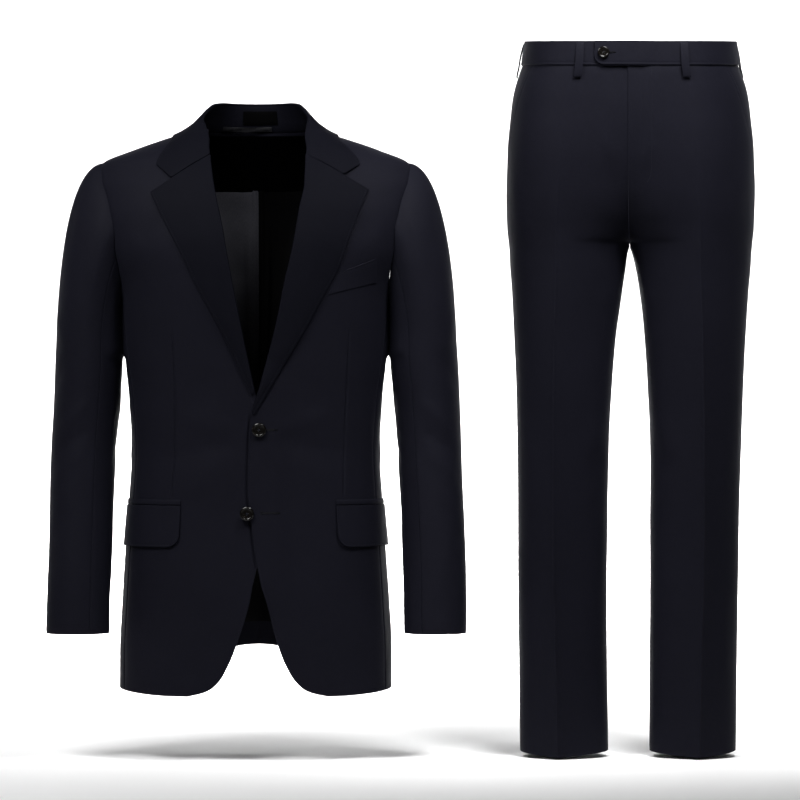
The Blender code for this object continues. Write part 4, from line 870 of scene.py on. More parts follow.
# The pick stitching, the roll over the folded edge and the fullness of lapels and collar. COLLAR_END is the
# share of half the collar after which its end is bent to follow the gorge seam.
STITCH_INSET = 3.2 * MM
ROLL_STEPS = 13
ROLL_WIDTH = 2.3 * MM
LAPEL_LENGTH = 370 * MM
LAPEL_BELLY = 2.3 * MM
LAPEL_EDGE_RISE = 1.1 * MM
COLLAR_BELLY = 2.6 * MM
COLLAR_TOP = 1.6 * MM + THIN_WALL
COLLAR_END = 0.96


def stitch_groove(from_edge):
    """Pick stitching presses a shallow groove along its line, a little inside the edge."""
    return ridge(from_edge - STITCH_INSET, -0.2 * MM, 1.2 * MM)


def rolled(fold, normal, onward, top, under, thickness, steps=ROLL_STEPS):
    """A half round roll over a folded edge: columns turn from the inner face, through the edge, to the outer
    face. Centre = fold + onward * radius + normal * middle; point = centre + radius (normal sin - onward
    cos)."""
    radius = (top - under) / 2
    centre = fold + onward * radius[..., None] + normal * ((top + under) / 2)[..., None]
    turn = np.radians(np.linspace(-90, 90, steps))
    way = (normal[:, None] * np.sin(turn)[:, None] - onward[:, None] * np.cos(turn)[:, None])
    outer = centre[:, None] + way * radius[:, None, None]
    return outer, outer - way * thickness


def lapel(word, side, outer_edge, gorge_top, roll, foot):
    """A lapel: rows from the break up to the gorge, each rolling over the front edge and lying on the front
    out to the lapel's own edge. It bellies by sin(pi * share) and dips along the pick stitching."""
    up = crowded(150, (1.0,), 4.0, 0.03)[:, None]
    tip = outer_edge["height"][-1]
    roll_height = foot[0] + (gorge_top[1] - foot[0]) * up
    edge_height = foot[1] + (tip - foot[1]) * up
    roll_x = side * line_x(roll, roll_height)
    edge_x = line_x(outer_edge, edge_height)
    width = np.hypot(edge_x - roll_x, edge_height - roll_height)
    start = np.minimum(ROLL_WIDTH / np.maximum(width, 1e-6), 0.5)
    share = start + (1 - start) * crowded(46, (0.93, 1.0), 4.0, 0.04)
    x = roll_x + (edge_x - roll_x) * share
    height = roll_height + (edge_height - roll_height) * share
    angle = side * front_angle(x, height)
    grid = torso(height, angle)
    normal = torso_normal(height, angle)
    from_edge = (1 - share) * width
    from_top = (1 - up) * LAPEL_LENGTH
    relief = LAPEL_BELLY * np.sin(np.pi * share) * ease(up * 4) + stitch_groove(from_edge)
    relief = relief + LAPEL_EDGE_RISE * ease(1 - from_edge / (26 * MM)) * ease(up * 3)
    relief = relief + stitch_groove(from_top) * (x > GORGE_CORNER_X)
    relief = relief + 0.25 * MM * np.sin(share * 5 + up * 9)
    lift = LAY_GAP + THIN_WALL + (lap_lift(side * x, height) if side > 0 else 0)
    outer = grid + normal * (lift + relief)[..., None]
    inner = outer - normal * THIN_CLOTH
    fold_angle = side * front_angle(roll_x[:, 0], roll_height[:, 0])
    fold = torso(roll_height[:, 0], fold_angle)
    fold_normal = torso_normal(roll_height[:, 0], fold_angle)
    onward = unit(grid[:, 1] - grid[:, 0])
    top = np.sum((outer[:, 0] - fold) * fold_normal, axis=-1)
    roll_outer, roll_inner = rolled(fold, fold_normal, onward, top, 0 * top - CLOTH, THIN_CLOTH)
    outer = np.concatenate([roll_outer[:, :-1], outer], axis=1)
    inner = np.concatenate([roll_inner[:, :-1], inner], axis=1)
    piece = shell("lapel_" + word + "_cloth", outer, inner, COLLAR_WOOL_SHADED, "lapel_" + word)
    declare(piece)
    return outer, normal, from_edge


def gorge_line(x, side):
    """The height of the seam between collar and lapel at a distance x from the middle."""
    top = OVER_GORGE_TOP if side > 0 else UNDER_GORGE_TOP
    outer = OVER_LAPEL if side > 0 else UNDER_LAPEL
    slope = (outer["height"][-1] - top[1]) / (outer["x"][-1] - top[0])
    return top[1] + slope * (x - top[0])


def collar():
    """The turned down collar round the back of the neck, rolling over its fold, and the stand inside it.
    Its ends follow the gorge seam to the corner of the notch and then its own short edge."""
    half = np.concatenate([np.linspace(0, COLLAR_END, 96), np.linspace(COLLAR_END, 1, 10)[1:]])
    station = np.concatenate([-half[:0:-1], half])
    side = np.sign(station) + (station == 0)
    at = np.abs(station)
    read = read_table(COLLAR, at)
    down = crowded(36, (0.0, 0.9, 1.0), 4.0, 0.05)[:, None]
    height = read["fold_height"] + (read["edge_height"] - read["fold_height"]) * down
    angle = (read["fold_angle"] + (read["edge_angle"] - read["fold_angle"]) * down) / MM
    x = torso(height, angle)[..., 0] + side * COLLAR_SHIFT * ease((at - 0.7) / 0.3)
    x = side * np.abs(x)
    share = down[:, 0]
    first = np.clip(share / GORGE_SHARE, 0, 1)
    second = np.clip((share - GORGE_SHARE) / (1 - GORGE_SHARE), 0, 1)
    near_end = np.clip((at - COLLAR_END) / (1 - COLLAR_END), 0, 1)
    for end, way in ((0, -1), (-1, 1)):
        fold_x = np.abs(x[0, end])
        tip_x = np.abs(x[-1, end])
        corner_x = GORGE_CORNER_X + way * COLLAR_SHIFT
        fold_end = gorge_line(fold_x, way) + COLLAR_SEAM
        corner_height = gorge_line(corner_x, way) + COLLAR_SEAM
        end_x = fold_x + (corner_x - fold_x) * first + (tip_x - corner_x) * second
        end_height = (fold_end + (corner_height - fold_end) * first
                      + (height[-1, end] - corner_height) * second)
        weight = near_end * (side == way)
        x = x + weight * side * (end_x - np.abs(x[:, end]))[:, None]
        height = height + weight * (end_height - height[:, end])[:, None]
    angle = np.where((at > 0.74) & (angle < 88), front_angle(np.abs(x), height), angle)
    angle = np.where(side < 0, 360 - angle, angle)
    grid = torso(height, angle)
    normal = torso_normal(height, angle)
    length = arc_lengths(grid, 0)
    relief = COLLAR_BELLY * np.sin(np.pi * down) * np.ones_like(at) + stitch_groove(length[-1] - length)
    outer = grid + normal * (COLLAR_TOP + relief)[..., None]
    inner = grid + normal * (COLLAR_TOP + relief - THIN_CLOTH)[..., None]
    roll_outer, roll_inner = rolled(grid[0], normal[0], unit(grid[2] - grid[0]), COLLAR_TOP + 0 * at,
                                    0 * at - CLOTH, THIN_CLOTH)
    start = int(np.searchsorted(length.mean(axis=1), 2.6 * MM))
    outer = np.concatenate([roll_outer.transpose(1, 0, 2), outer[start:]])
    inner = np.concatenate([roll_inner.transpose(1, 0, 2), inner[start:]])
    piece = shell("collar_fall_cloth", outer, inner, COLLAR_WOOL_SHADED, "collar_fall")
    declare(piece)
    stand_angle = np.linspace(86, 274, 120)
    away = np.minimum(stand_angle, 360 - stand_angle)
    fold = smooth(away, COLLAR["fold_angle"][::-1] / MM, COLLAR["fold_height"][::-1])
    stand_height = 0.5 * MM + (fold - 3.2 * MM) * np.linspace(0, 1, 20)[:, None]
    torso_cloth("collar_stand_cloth", stand_height, stand_angle, COLLAR_WOOL_SHADED, "collar_stand",
                thickness=THIN_CLOTH, held="folded", rests_on=["jacket_back_left", "jacket_back_right"])
    return outer


# Inside the back

# The lining, label and loop. Angles are in degrees, 180 at the middle of the back. FACING_SHARE is where the
# lining starts on each back, and LABEL_DEGREE is the length of one degree at the label.
LINING_SINK = 3.2 * MM
LINING_FOOT = -756 * MM
FACING_SHARE = 0.15
LABEL_ANGLES = (155, 198)
LABEL_HEIGHTS = (12.5 * MM, 31 * MM)
LABEL_DEGREE = 1.2 * MM
LOOP_START = 163
LOOP_SPAN = 59

# Soft folds of the lining, in degrees round the form times 2.8 and in height. They rise inwards.
LINING_FOLDS = ((430, -100, 452, -330, 12, 2.4), (468, -95, 474, -400, 9, -1.6),
                (396, -120, 420, -350, 14, 2.0), (484, -95, 492, -500, 8, 2.2),
                (360, -130, 380, -420, 16, 2.0), (440, -320, 470, -560, 14, 2.0),
                (400, -400, 416, -700, 18, 2.2), (452, -560, 462, -740, 16, 1.8))


def lining():
    """Satin back lining in two halves, with a pleat at the middle; the half on the viewer's right takes a
    near black copy of the satin as painted shade.
    """
    rows_up, depth = armhole(np.linspace(-BACK_SEAM_TAU, 0, 60))
    levels = np.concatenate([np.linspace(LINING_FOOT, -300 * MM, 110), np.linspace(-298, -80, 62) * MM])
    share = np.linspace(FACING_SHARE, 1, 60)
    start = np.where(levels < rows_up[0], back_seam_angle(levels),
                     np.interp(levels, rows_up, depth_angle(depth, rows_up)))
    for word, side in SIDES:
        angle = start[:, None] + (180 - start)[:, None] * share
        height = toward_hem(levels[:, None], angle)
        height = np.maximum(height, hem_height(angle) + 14 * MM)
        round_form = angle * ROUND_STEP
        rise = folds(round_form, height, LINING_FOLDS) + drape(round_form, height, 0.5 * MM, side)
        rise = rise + ridge(angle - 177.5, 1.8 * MM, 1.2) * ease((height + 520 * MM) / (120 * MM))
        rise = np.maximum(rise, 0) * ease(share / 0.3) * ease((levels[:, None] - LINING_FOOT) / (30 * MM))
        # Painted shade: the half on the viewer's right gets the near black copy of the satin.
        torso_cloth("back_lining_" + word + "_satin", height, side * angle,
                    LINING_SATIN if side < 0 else LINING_SATIN_SHADED, "back_lining_" + word, -rise,
                    -LINING_SINK, LINING_CLOTH, rests_on=["jacket_back_" + word])


def yoke():
    """The wool yoke round the inside of the shoulders, with slow waves of half a millimetre; its near black,
    glossless colour is a dark cloth darkened further by painted shade.
    """
    rows_up, depth = armhole(np.linspace(-BACK_SEAM_TAU, 0, 60))
    levels = np.linspace(-83.5, -3, 34) * MM
    start = np.interp(levels, rows_up, depth_angle(depth, rows_up), right=SHOULDER_ANGLE)
    half = start[:, None] + (180 - start)[:, None] * np.linspace(FACING_SHARE, 1, 60)
    angle = np.concatenate([half, 360 - half[:, -2::-1]], axis=1)
    height = levels[:, None] + 0 * angle
    rise = 0.5 * MM * np.sin(angle / 9) * np.sin(height / (14 * MM))
    torso_cloth("yoke_cloth", height, angle, BLACK_YOKE_AND_SHADE, "back_yoke_lining", -np.maximum(rise, 0),
                -LINING_SINK, LINING_CLOTH, rests_on=["jacket_back_left", "jacket_back_right"])


def label_and_loop():
    """The plain label inside the collar, with a sewn line near its edge, and the hanger loop below it, which
    bows inwards by 2.5 sin(pi * share) mm and is twisted in fine waves."""
    low, high = LABEL_ANGLES
    foot, top = LABEL_HEIGHTS
    angle = np.linspace(low, high, 40)
    height = np.linspace(foot, top, 16)[:, None] + 0 * angle
    from_side = np.minimum(angle - low, high - angle) * LABEL_DEGREE
    rim = np.minimum(from_side, np.minimum(height - foot, top - height))
    torso_cloth("neck_label_satin", height, angle, LABEL_SATIN, "neck_label",
                ridge(rim - 1.6 * MM, 0.35 * MM, 0.6 * MM), -2.1 * MM, LINING_CLOTH, held="laid",
                rests_on=["collar_stand"])
    share = np.linspace(0, 1, 80)
    angle = LOOP_START + LOOP_SPAN * share
    height = np.array([3.0, 4.4, 6.0, 7.6, 9.0])[:, None] * MM + 0 * angle
    arch = np.sin(np.pi * share)
    bow = 2.5 * MM * arch + 0.35 * MM * np.sin(height / (0.95 * MM) + 9 * share)
    bow = bow + 0.5 * MM * np.sin(31 * share + 2 * np.sin(7 * share)) * arch
    torso_cloth("hanger_loop_satin", height, angle, LOOP_SATIN, "hanger_loop", -bow, -2.2 * MM, LINING_CLOTH,
                rests_on=["collar_stand"])


# Pockets

FLAP_FRONT = {1: 115 * MM, -1: 101.5 * MM}
FLAP_TOP = -531 * MM
FLAP_BOTTOM = -589 * MM
FLAP_LENGTH = 155 * MM
FLAP_CORNER = 18 * MM
FLAP_STITCH_INSET = 3 * MM
JET_FOOT = -530 * MM
JET_HEIGHT = 7.4 * MM

# The welt's lower and upper edges, each from its end at the middle to its end at the side.
WELT_LOW = np.array(((104, -237), (171, -219))) * MM
WELT_HIGH = np.array(((120, -206), (171, -185))) * MM


def arc_angles(height, start, length, shares):
    """Angles along the form at one height, at shares of a length measured round it."""
    fine = np.linspace(start, start + 90, 400)
    line = torso(np.full(fine.shape, height), fine)
    return np.interp(shares * length, arc_lengths(line, 0), fine)


def flap_foot(from_end, inset=0.0):
    """The height of a flap's lower edge, or of a line an inset inside it, at a distance from the flap's end:
    level, with a quarter circle at the corner."""
    radius = FLAP_CORNER - inset
    near = np.clip(FLAP_CORNER - from_end, 0, radius)
    return FLAP_BOTTOM + FLAP_CORNER - np.sqrt(radius**2 - near**2)


def pockets():
    """Hip flaps whose lower corners are quarter circles, with the piped jets above them."""
    for word, side in SIDES:
        start = front_angle(FLAP_FRONT[side], FLAP_TOP)
        share = crowded(74, (0.0, 0.06, 0.94, 1.0), 6.0, 0.03)
        angle = arc_angles(FLAP_TOP, start, FLAP_LENGTH, share)
        from_end = np.minimum(share, 1 - share) * FLAP_LENGTH
        bottom = flap_foot(from_end)
        down = crowded(30, (0.0, 1.0), 4.0, 0.06)[:, None]
        height = FLAP_TOP + (bottom - FLAP_TOP) * down
        edge = np.minimum(from_end, height - bottom)
        relief = 1.3 * MM * down + 0.4 * MM * np.sin(share * 7 + side) * down
        relief = relief + ridge(edge - FLAP_STITCH_INSET, -0.25 * MM, 1.2 * MM)
        torso_cloth("pocket_flap_" + word + "_cloth", height, side * angle, JACKET_WOOL,
                    "pocket_flap_" + word, relief, LAY_GAP + THIN_WALL, THIN_CLOTH,
                    rests_on=["jacket_front_" + word])
        up = np.linspace(0, 1, 12)[:, None]
        angle = arc_angles(-523 * MM, start, FLAP_LENGTH + 3 * MM, np.linspace(0, 1, 60))
        height = JET_FOOT + JET_HEIGHT * up + 0 * angle
        piping = 0.9 * MM * np.sqrt(np.maximum(1 - ((up - 0.45) / 0.58)**2, 0)) + 0 * angle
        torso_cloth("pocket_jet_" + word + "_cloth", height, side * angle, JACKET_WOOL, "pocket_jet_" + word,
                    piping, 0.9 * MM, 0.8 * MM, rests_on=["jacket_front_" + word])


def welt():
    """The slanted breast welt: a four cornered piece whose rows run between its lower and upper edges."""
    share = crowded(48, (0.0, 1.0), 4.0, 0.05)
    up = crowded(22, (0.0, 1.0), 4.0, 0.08)[:, None]
    x, height = ((1 - up) * (WELT_LOW[0, k] * (1 - share) + WELT_LOW[1, k] * share)
                 + up * (WELT_HIGH[0, k] * (1 - share) + WELT_HIGH[1, k] * share) for k in (0, 1))
    relief = 0.5 * MM * np.sin(np.pi * share) * up + ridge((1 - up) * 32 * MM - 3 * MM, -0.25 * MM, 1.1 * MM)
    torso_cloth("breast_welt_cloth", height, front_angle(x, height), JACKET_WOOL, "breast_welt", relief,
                1.3 * MM, THIN_CLOTH, rests_on=["jacket_front_left"])


# Trousers

# Folds on the legs, in shares of a quarter times 280 and in height: 0 outseam, 140 crease, 280 inseam.
QUARTER = 280 * MM
LEG_FRONT_FOLDS = {
    1: ((270, -60, 214, -10, 14, 0.7), (274, -96, 196, -52, 14, -0.3), (276, -130, 190, -110, 14, 0.5),
        (272, -160, 206, -196, 14, -0.5), (262, -196, 214, -262, 14, 0.8), (236, 80, 232, -90, 12, 0.6),
        (40, -40, 96, -150, 18, 1.0), (236, -400, 180, -470, 16, 1.0), (250, -440, 196, -500, 14, -1.1),
        (60, -430, 100, -520, 16, 0.9), (90, -640, 70, -800, 18, 0.9), (220, -650, 206, -800, 18, -0.9),
        (100, 70, 112, -60, 20, -0.8)),
    -1: ((268, -54, 216, -4, 14, 0.7), (275, -90, 200, -56, 14, -0.3), (276, -126, 186, -102, 14, 0.5),
         (270, -154, 210, -200, 14, -0.5), (260, -200, 208, -256, 13, 0.8), (244, 84, 236, -80, 12, 0.7),
         (46, -50, 90, -170, 18, 1.0),
         (240, -410, 186, -466, 16, 1.1), (246, -450, 190, -510, 14, -1.0), (56, -420, 104, -500, 16, 0.9),
         (84, -630, 74, -800, 18, 0.9), (216, -660, 210, -790, 18, -0.9), (104, 66, 108, -70, 20, -0.8))}
LEG_BACK_FOLDS = ((262, -110, 190, -176, 14, 1.8), (266, -146, 180, -232, 14, -1.6),
                  (258, -190, 196, -290, 14, 1.4), (70, -120, 150, -190, 16, 1.2),
                  (240, -400, 160, -440, 12, 1.6), (250, -432, 150, -474, 12, -1.6),
                  (236, -470, 170, -520, 13, 1.4), (60, -430, 120, -470, 14, 1.2),
                  (90, -640, 80, -820, 18, 1.0), (220, -620, 200, -800, 18, -1.0),
                  (190, 60, 200, -60, 20, 1.0))
POCKET_STITCH_INSET = 6 * MM


def leg_levels():
    """Row heights down the leg, closer together round the fork, where the two legs part."""
    return np.concatenate([np.linspace(-880, -200, 120), np.linspace(-198, -80, 44),
                           np.linspace(-77, 92.0, 50)]) * MM


def hem_dip(height, p):
    """The hem hangs a little lower at the pressed folds."""
    near = 1 - np.clip(np.abs(np.abs(p) - 0.5) / 0.45, 0, 1)
    return height - HEM_DIP * near * ease((-700 * MM - height) / (180 * MM))


def pocket_mouth(height):
    """How far the slanted pocket mouth lies in front of the outseam, as a share of the quarter."""
    return 0.21 * np.clip((height - POCKET_BOTTOM) / (WAIST_SEAM - POCKET_BOTTOM), 0, 1)


def crease_ridge(from_crease, pressed):
    """The pressed crease: 0.9 mm * pressed * exp(-distance / 2 mm), the distance given in shares of p."""
    return 0.9 * MM * pressed * np.exp(-np.abs(from_crease) * QUARTER / (2.0 * MM))


def leg_front_relief(side, p, height):
    """How far a leg's front stands off the form: folds that die out at its edges, the pressed crease, a
    narrow ridge of exp(-|distance| / width), the lap of the fly and the stitched pocket mouth."""
    start = pocket_mouth(height)
    share = np.where(p < 0.5, 0.5 * (p - start) / (0.5 - start), p)
    relief = folds(p * QUARTER, height, LEG_FRONT_FOLDS[side]) + drape(p * QUARTER, height, 0.3 * MM, side)
    relief = relief * fade(share, 0.07, 0.05) * ease((WAIST_SEAM - height) / (20 * MM))
    relief = relief * ease((height - TROUSER_HEM) / (40 * MM))
    relief = relief + crease_ridge(p - 0.5, ease((-60 * MM - height) / (90 * MM)))
    relief = relief + seam_dip((1 - share) * QUARTER, 0.5 * MM) * (height < -160 * MM)
    relief = relief + seam_dip(WAIST_SEAM - height, 0.2 * MM)
    lap = ease((height + 150 * MM) / (60 * MM))
    if side > 0:
        relief = relief + 1.1 * MM * ease((p - 0.9) / 0.03) * lap
    else:
        relief = relief - 0.7 * MM * ease((p - 0.95) / 0.04) * lap
    mouth = (p - start) * QUARTER
    return relief + ridge(mouth - POCKET_STITCH_INSET, -0.3 * MM, 1.3 * MM) * (height > POCKET_BOTTOM)


def trouser_panels():
    """The legs' fronts and backs: rows run from the outseam, or the pocket mouth, over the pressed crease
    to the inseam or the middle seam. The pocket facings lie behind the slanted mouths."""
    level = leg_levels()[:, None]
    share = crowded(64, (0.0, 0.5, 1.0), 7.0, 0.03)
    for word, side in SIDES:
        start = pocket_mouth(level)
        p = np.where(share < 0.5, start + (0.5 - start) * share / 0.5, share)
        height = hem_dip(level + 0 * p, p)
        leg_cloth("trouser_front_" + word + "_cloth", side, p, height, "trousers_front_" + word,
                  leg_front_relief(side, p, height), rests_on=["waistband_" + word], softness=0.12)
        p = -share + 0 * level
        height = hem_dip(level + 0 * p, p)
        relief = folds(-p * QUARTER, height, LEG_BACK_FOLDS)
        relief = relief + drape(p * QUARTER, height, 0.35 * MM, 2 + side)
        relief = relief * fade(share, 0.07, 0.05) * ease((WAIST_SEAM - height) / (20 * MM))
        relief = relief * ease((height - TROUSER_HEM) / (40 * MM))
        relief = relief + crease_ridge(p + 0.5, ease((-120 * MM - height) / (120 * MM)))
        relief = relief + both_dips(share, QUARTER, 0.5 * MM, 0.5 * MM)
        leg_cloth("trouser_back_" + word + "_cloth", side, p, height, "trousers_back_" + word, relief,
                  rests_on=["waistband_" + word])
        facing_level = np.linspace(-73, 92, 40)[:, None] * MM
        p = pocket_mouth(facing_level) * np.linspace(0.004, 1, 14)
        leg_cloth("pocket_facing_" + word + "_cloth", side, p, facing_level + 0 * p, "pocket_facing_" + word,
                  0.0, -0.5 * MM, THIN_CLOTH, rests_on=["waistband_" + word])


BAND_LIFT = 1.5 * MM
TAB_LIFT = 3.4 * MM
TAB_CORNER = 15 * MM
TAB_END = -56 * MM
TAB_BUTTON_LEVEL = 109.4 * MM


def front_share(side, x, height):
    """Where on a quarter of the front a distance x from the trousers' middle falls."""
    fine = np.linspace(0.3, 1, 600)
    line = leg(side, fine, np.full(fine.shape, height))[:, 0] - TROUSERS_X
    order = np.argsort(line)
    return np.interp(x, line[order], fine[order])


def run_point(run, height):
    """The band's run: up to 1 on the viewer's right half, past 1 on the other half."""
    past = leg(-1, np.clip(2 - run, -1, 1), height)
    return np.where((run > 1)[..., None], past, leg(1, np.clip(run, -1, 1), height))


def band_relief(up, run):
    """The band is turned at its top, drawn in at its lower seam and a little uneven along its length."""
    return (0.5 * MM * np.sin(np.pi * up)**0.5 + 0.15 * MM * np.sin(run * 23 + 3 * up)
            + ridge(up - 0.1, -0.25 * MM, 0.04))


def waistband():
    """The band in two halves. The upper one runs past the middle to a tab whose lower corner is a quarter
    circle, and stands out over the under half."""
    middle = (WAIST_SEAM + WAIST_TOP) / 2
    up = crowded(20, (0.0, 0.1, 1.0), 4.0, 0.06)[:, None]
    own = np.linspace(-1, 1, 180)
    height = WAIST_SEAM + (WAIST_TOP - WAIST_SEAM) * up + 0 * own
    leg_cloth("waistband_right_cloth", -1, own, height, "waistband_right", band_relief(up, own), BAND_LIFT,
              BAND_CLOTH, held="stretched", rests_on=["trousers_front_right", "trousers_back_right"])
    past = 1 + (1 - front_share(-1, TAB_END, middle)) * crowded(40, (0.85, 1.0), 5.0, 0.06)[1:]
    run = np.concatenate([own, past])
    line = run_point(run, np.full(run.shape, middle))
    inset = np.where(run > 0.8, np.clip(TAB_CORNER - (line[:, 0] - line[-1, 0]), 0, None), 0)
    foot = WAIST_SEAM + TAB_CORNER - np.sqrt(np.maximum(TAB_CORNER**2 - inset**2, 0))
    height = foot + (WAIST_TOP - foot) * up
    run = run + 0 * height
    grid = run_point(run, height)
    x = grid[..., 0] - TROUSERS_X
    lift = BAND_LIFT + TAB_LIFT * np.where(run > 0, ease((30 * MM - x) / (30 * MM)), 0)
    own_normal = leg_normal(1, np.minimum(run, 1), height)
    normal = np.where((run > 1)[..., None], leg_normal(-1, 2 - run, height), own_normal)
    cloth("waistband_left_cloth", grid, normal, TROUSER_WOOL, "waistband_left", band_relief(up, run), lift,
          BAND_CLOTH, held="stretched", rests_on=["trousers_front_left", "trousers_back_left"])


# Each loop's place: millimetres from the trousers' middle, or a share of the leg's run.
LOOPS = (("front_left", 1, 70.4, 0), ("front_right", -1, -76.9, 0), ("side_left", 1, None, -0.06),
         ("side_right", -1, None, -0.06), ("back_left", 1, None, -0.62), ("back_right", -1, None, -0.62),
         ("back_middle", 1, None, -0.999))
LOOP_WIDTH = 11 * MM


def belt_loops():
    """Straps from z 75 to 124 mm that stand off the band by 1.5 mm and by 3 sin(pi * share)^0.7 mm more,
    with two rows of stitching pressed into their faces."""
    up = np.linspace(0, 1, 44)
    height = (75 + 49 * up) * MM
    across = np.linspace(-0.5, 0.5, 13)
    off = (1.5 * MM + 3.0 * MM * np.sin(np.pi * up)**0.7)[:, None] + THIN_WALL
    seam = ridge(np.abs(across) - 0.32, -0.3 * MM, 0.08) + 0.2 * MM * (1 - (2 * across)**4)
    for name, side, x, share in LOOPS:
        if x is not None:
            share = float(front_share(side, x * MM, 99.5 * MM))
        p = np.full(up.shape, share)
        middle = leg(side, p, height)
        if name == "back_middle":
            middle[:, 0] = TROUSERS_X
        normal = unit(leg_normal(side, p, height) * np.array([1, 1, 0]))
        level_way = np.cross((0, 0, 1), normal)
        grid = middle[:, None] + (across * LOOP_WIDTH)[None, :, None] * level_way[:, None]
        out = np.repeat(normal[:, None], len(across), axis=1)
        cloth("belt_loop_" + name + "_cloth", grid, out, TROUSER_WOOL, "belt_loop_" + name, seam, off,
              THIN_CLOTH, rests_on=["waistband_left", "waistband_right"])


# Buttons, stitches and buttonholes

# A button's face, radius against height above the cloth: shank, back, rim, rolled edge and dished middle.
BUTTON_PROFILE = ((0, 0), (2, 0), (2.2, 0.8), (6, 1.0), (8.4, 1.1), (9.6, 1.7), (10, 2.5), (9.9, 3.1),
                  (9.5, 3.7), (8.8, 4.1), (8.1, 4.2), (7.5, 4.0), (7.0, 3.5), (6.5, 3.25), (5.5, 3.15),
                  (4.4, 3.1), (3.3, 3.1), (2.6, 3.1), (2.0, 3.1), (1.4, 3.1), (0.8, 3.1), (0, 3.1))

# The holes in a button. DISH_STARTS is the row of the profile from which the face is pressed in for them.
HOLE_OUT = 1.9 * MM
HOLE_RADIUS = 0.85 * MM
HOLE_DEPTH = 1.7 * MM
DISH_STARTS = 12.5

# The jacket's buttons: word, x, height, length of shank and turn. Its buttonholes: word, x, height, length.
FRONT_BUTTONS = (("top", 8.3, -425, 0.0, 0.9), ("low", -8.4, -542, LAP_LIFT, 0.5))
FRONT_HOLES = (("top", 9.5, -425, 25), ("low", 10, -541, 27))

# Spacing, length and width of a pick stitch.
PICK_STITCH = (4.5 * MM, 1.6 * MM, 0.6 * MM)


def frame_at(normal):
    """Two directions across a small piece that sits on the cloth: level, and up the cloth."""
    level = unit(np.cross((0, 0, 1), normal))
    return level, np.cross(normal, level)


def button(name, node, seat, normal, size, shank, turn):
    """A turned button: its profile carried round the axis, with four holes pressed deep into the dished
    middle, each exp(-(distance / radius)^6), and the thread in an X between them."""
    rings = 92
    sides = 96
    profile = np.array(BUTTON_PROFILE) * MM
    fine = np.linspace(0, len(profile) - 1, rings)
    radius = np.interp(fine, np.arange(len(profile)), profile[:, 0])[:, None]
    rise = np.interp(fine, np.arange(len(profile)), profile[:, 1])[:, None]
    around = np.linspace(0, 2 * np.pi, sides, endpoint=False)
    px = radius * np.cos(around)
    py = radius * np.sin(around)
    rise = rise + 0 * px
    face = fine[:, None] > DISH_STARTS
    quarters = turn + np.arange(4) * np.pi / 2
    for hx, hy in zip(HOLE_OUT * np.cos(quarters), HOLE_OUT * np.sin(quarters)):
        rise = rise - face * HOLE_DEPTH * np.exp(-(np.hypot(px - hx, py - hy) / HOLE_RADIUS)**6)
    rise[:2 * rings // (len(profile) - 1)] -= shank
    level, up = frame_at(normal)
    points = seat + size * (px[..., None] * level + py[..., None] * up) + size * rise[..., None] * normal
    points = np.concatenate([points[:1, 0], points[1:-1].reshape(-1, 3), points[-1:, 0]])
    first = 1 + np.arange(sides)
    last = first + (rings - 3) * sides
    low = np.stack([0 * first, np.roll(first, -1), first], axis=-1)
    high = np.stack([0 * first + len(points) - 1, last, np.roll(last, -1)], axis=-1)
    faces = grid_quads(rings - 2, sides, 1, ring=True).tolist() + low.tolist() + high.tolist()
    add_piece(name, points, faces, HORN, None, node, sharp=60)
    t = np.linspace(-1, 1, 22)[:, None]
    bars = []
    for k in range(2):
        a, b = HOLE_OUT * size * np.cos(quarters[k]), HOLE_OUT * size * np.sin(quarters[k])
        lift = (3.35 - 2.2 * np.clip(np.abs(t) - 0.75, 0, 1) / 0.25 + 0.35 * k * (1 - t**2)) * MM * size
        bars.append(seat + a * t * level + b * t * up + lift * normal)
    tubes(name + "_thread", bars, 0.42 * MM * size, SILVER_THREAD if size < 1 else NAVY_THREAD, 10)


def tubes(name, paths, radius, material, around=8):
    """Round threads along open paths: each path carries a circle at right angles to it, closed at its
    ends."""
    points = []
    faces = []
    start = 0
    turn = np.linspace(0, 2 * np.pi, around, endpoint=False)
    for path in paths:
        tangent = unit(np.gradient(path, axis=0))
        helper = np.where(np.abs(tangent[:, 1:2]) > 0.9, np.array([[1.0, 0, 0]]), np.array([[0, 1.0, 0]]))
        a = unit(np.cross(tangent, helper))
        b = np.cross(tangent, a)
        circle = np.cos(turn)[:, None] * a[:, None] + np.sin(turn)[:, None] * b[:, None]
        ring = path[:, None] + radius * circle
        count = len(path)
        points.append(np.concatenate([path[:1], ring.reshape(-1, 3), path[-1:]]))
        first = start + 1 + np.arange(around)
        last = first + (count - 1) * around
        end = start + 1 + count * around
        faces += grid_quads(count, around, start + 1, ring=True)[:, ::-1].tolist()
        faces += np.stack([np.roll(first, -1), first, 0 * first + start], axis=-1).tolist()
        faces += np.stack([last, np.roll(last, -1), 0 * last + end], axis=-1).tolist()
        start = end + 1
    add_piece(name, np.concatenate(points), faces, material)


def read_rows(at, places, rows):
    """Rows of three numbers, read between their places."""
    return np.stack([np.interp(at, places, rows[:, k]) for k in range(3)], axis=-1)


def along_line(line, spacing):
    """Points at even distances along a line of points, with the line's direction and the share of its length
    at each."""
    run = arc_lengths(line, 0)
    at = np.arange(spacing / 2, run[-1], spacing)
    way = read_rows(at + 0.5 * MM, run, line) - read_rows(at - 0.5 * MM, run, line)
    return read_rows(at, run, line), unit(way), at / run[-1]


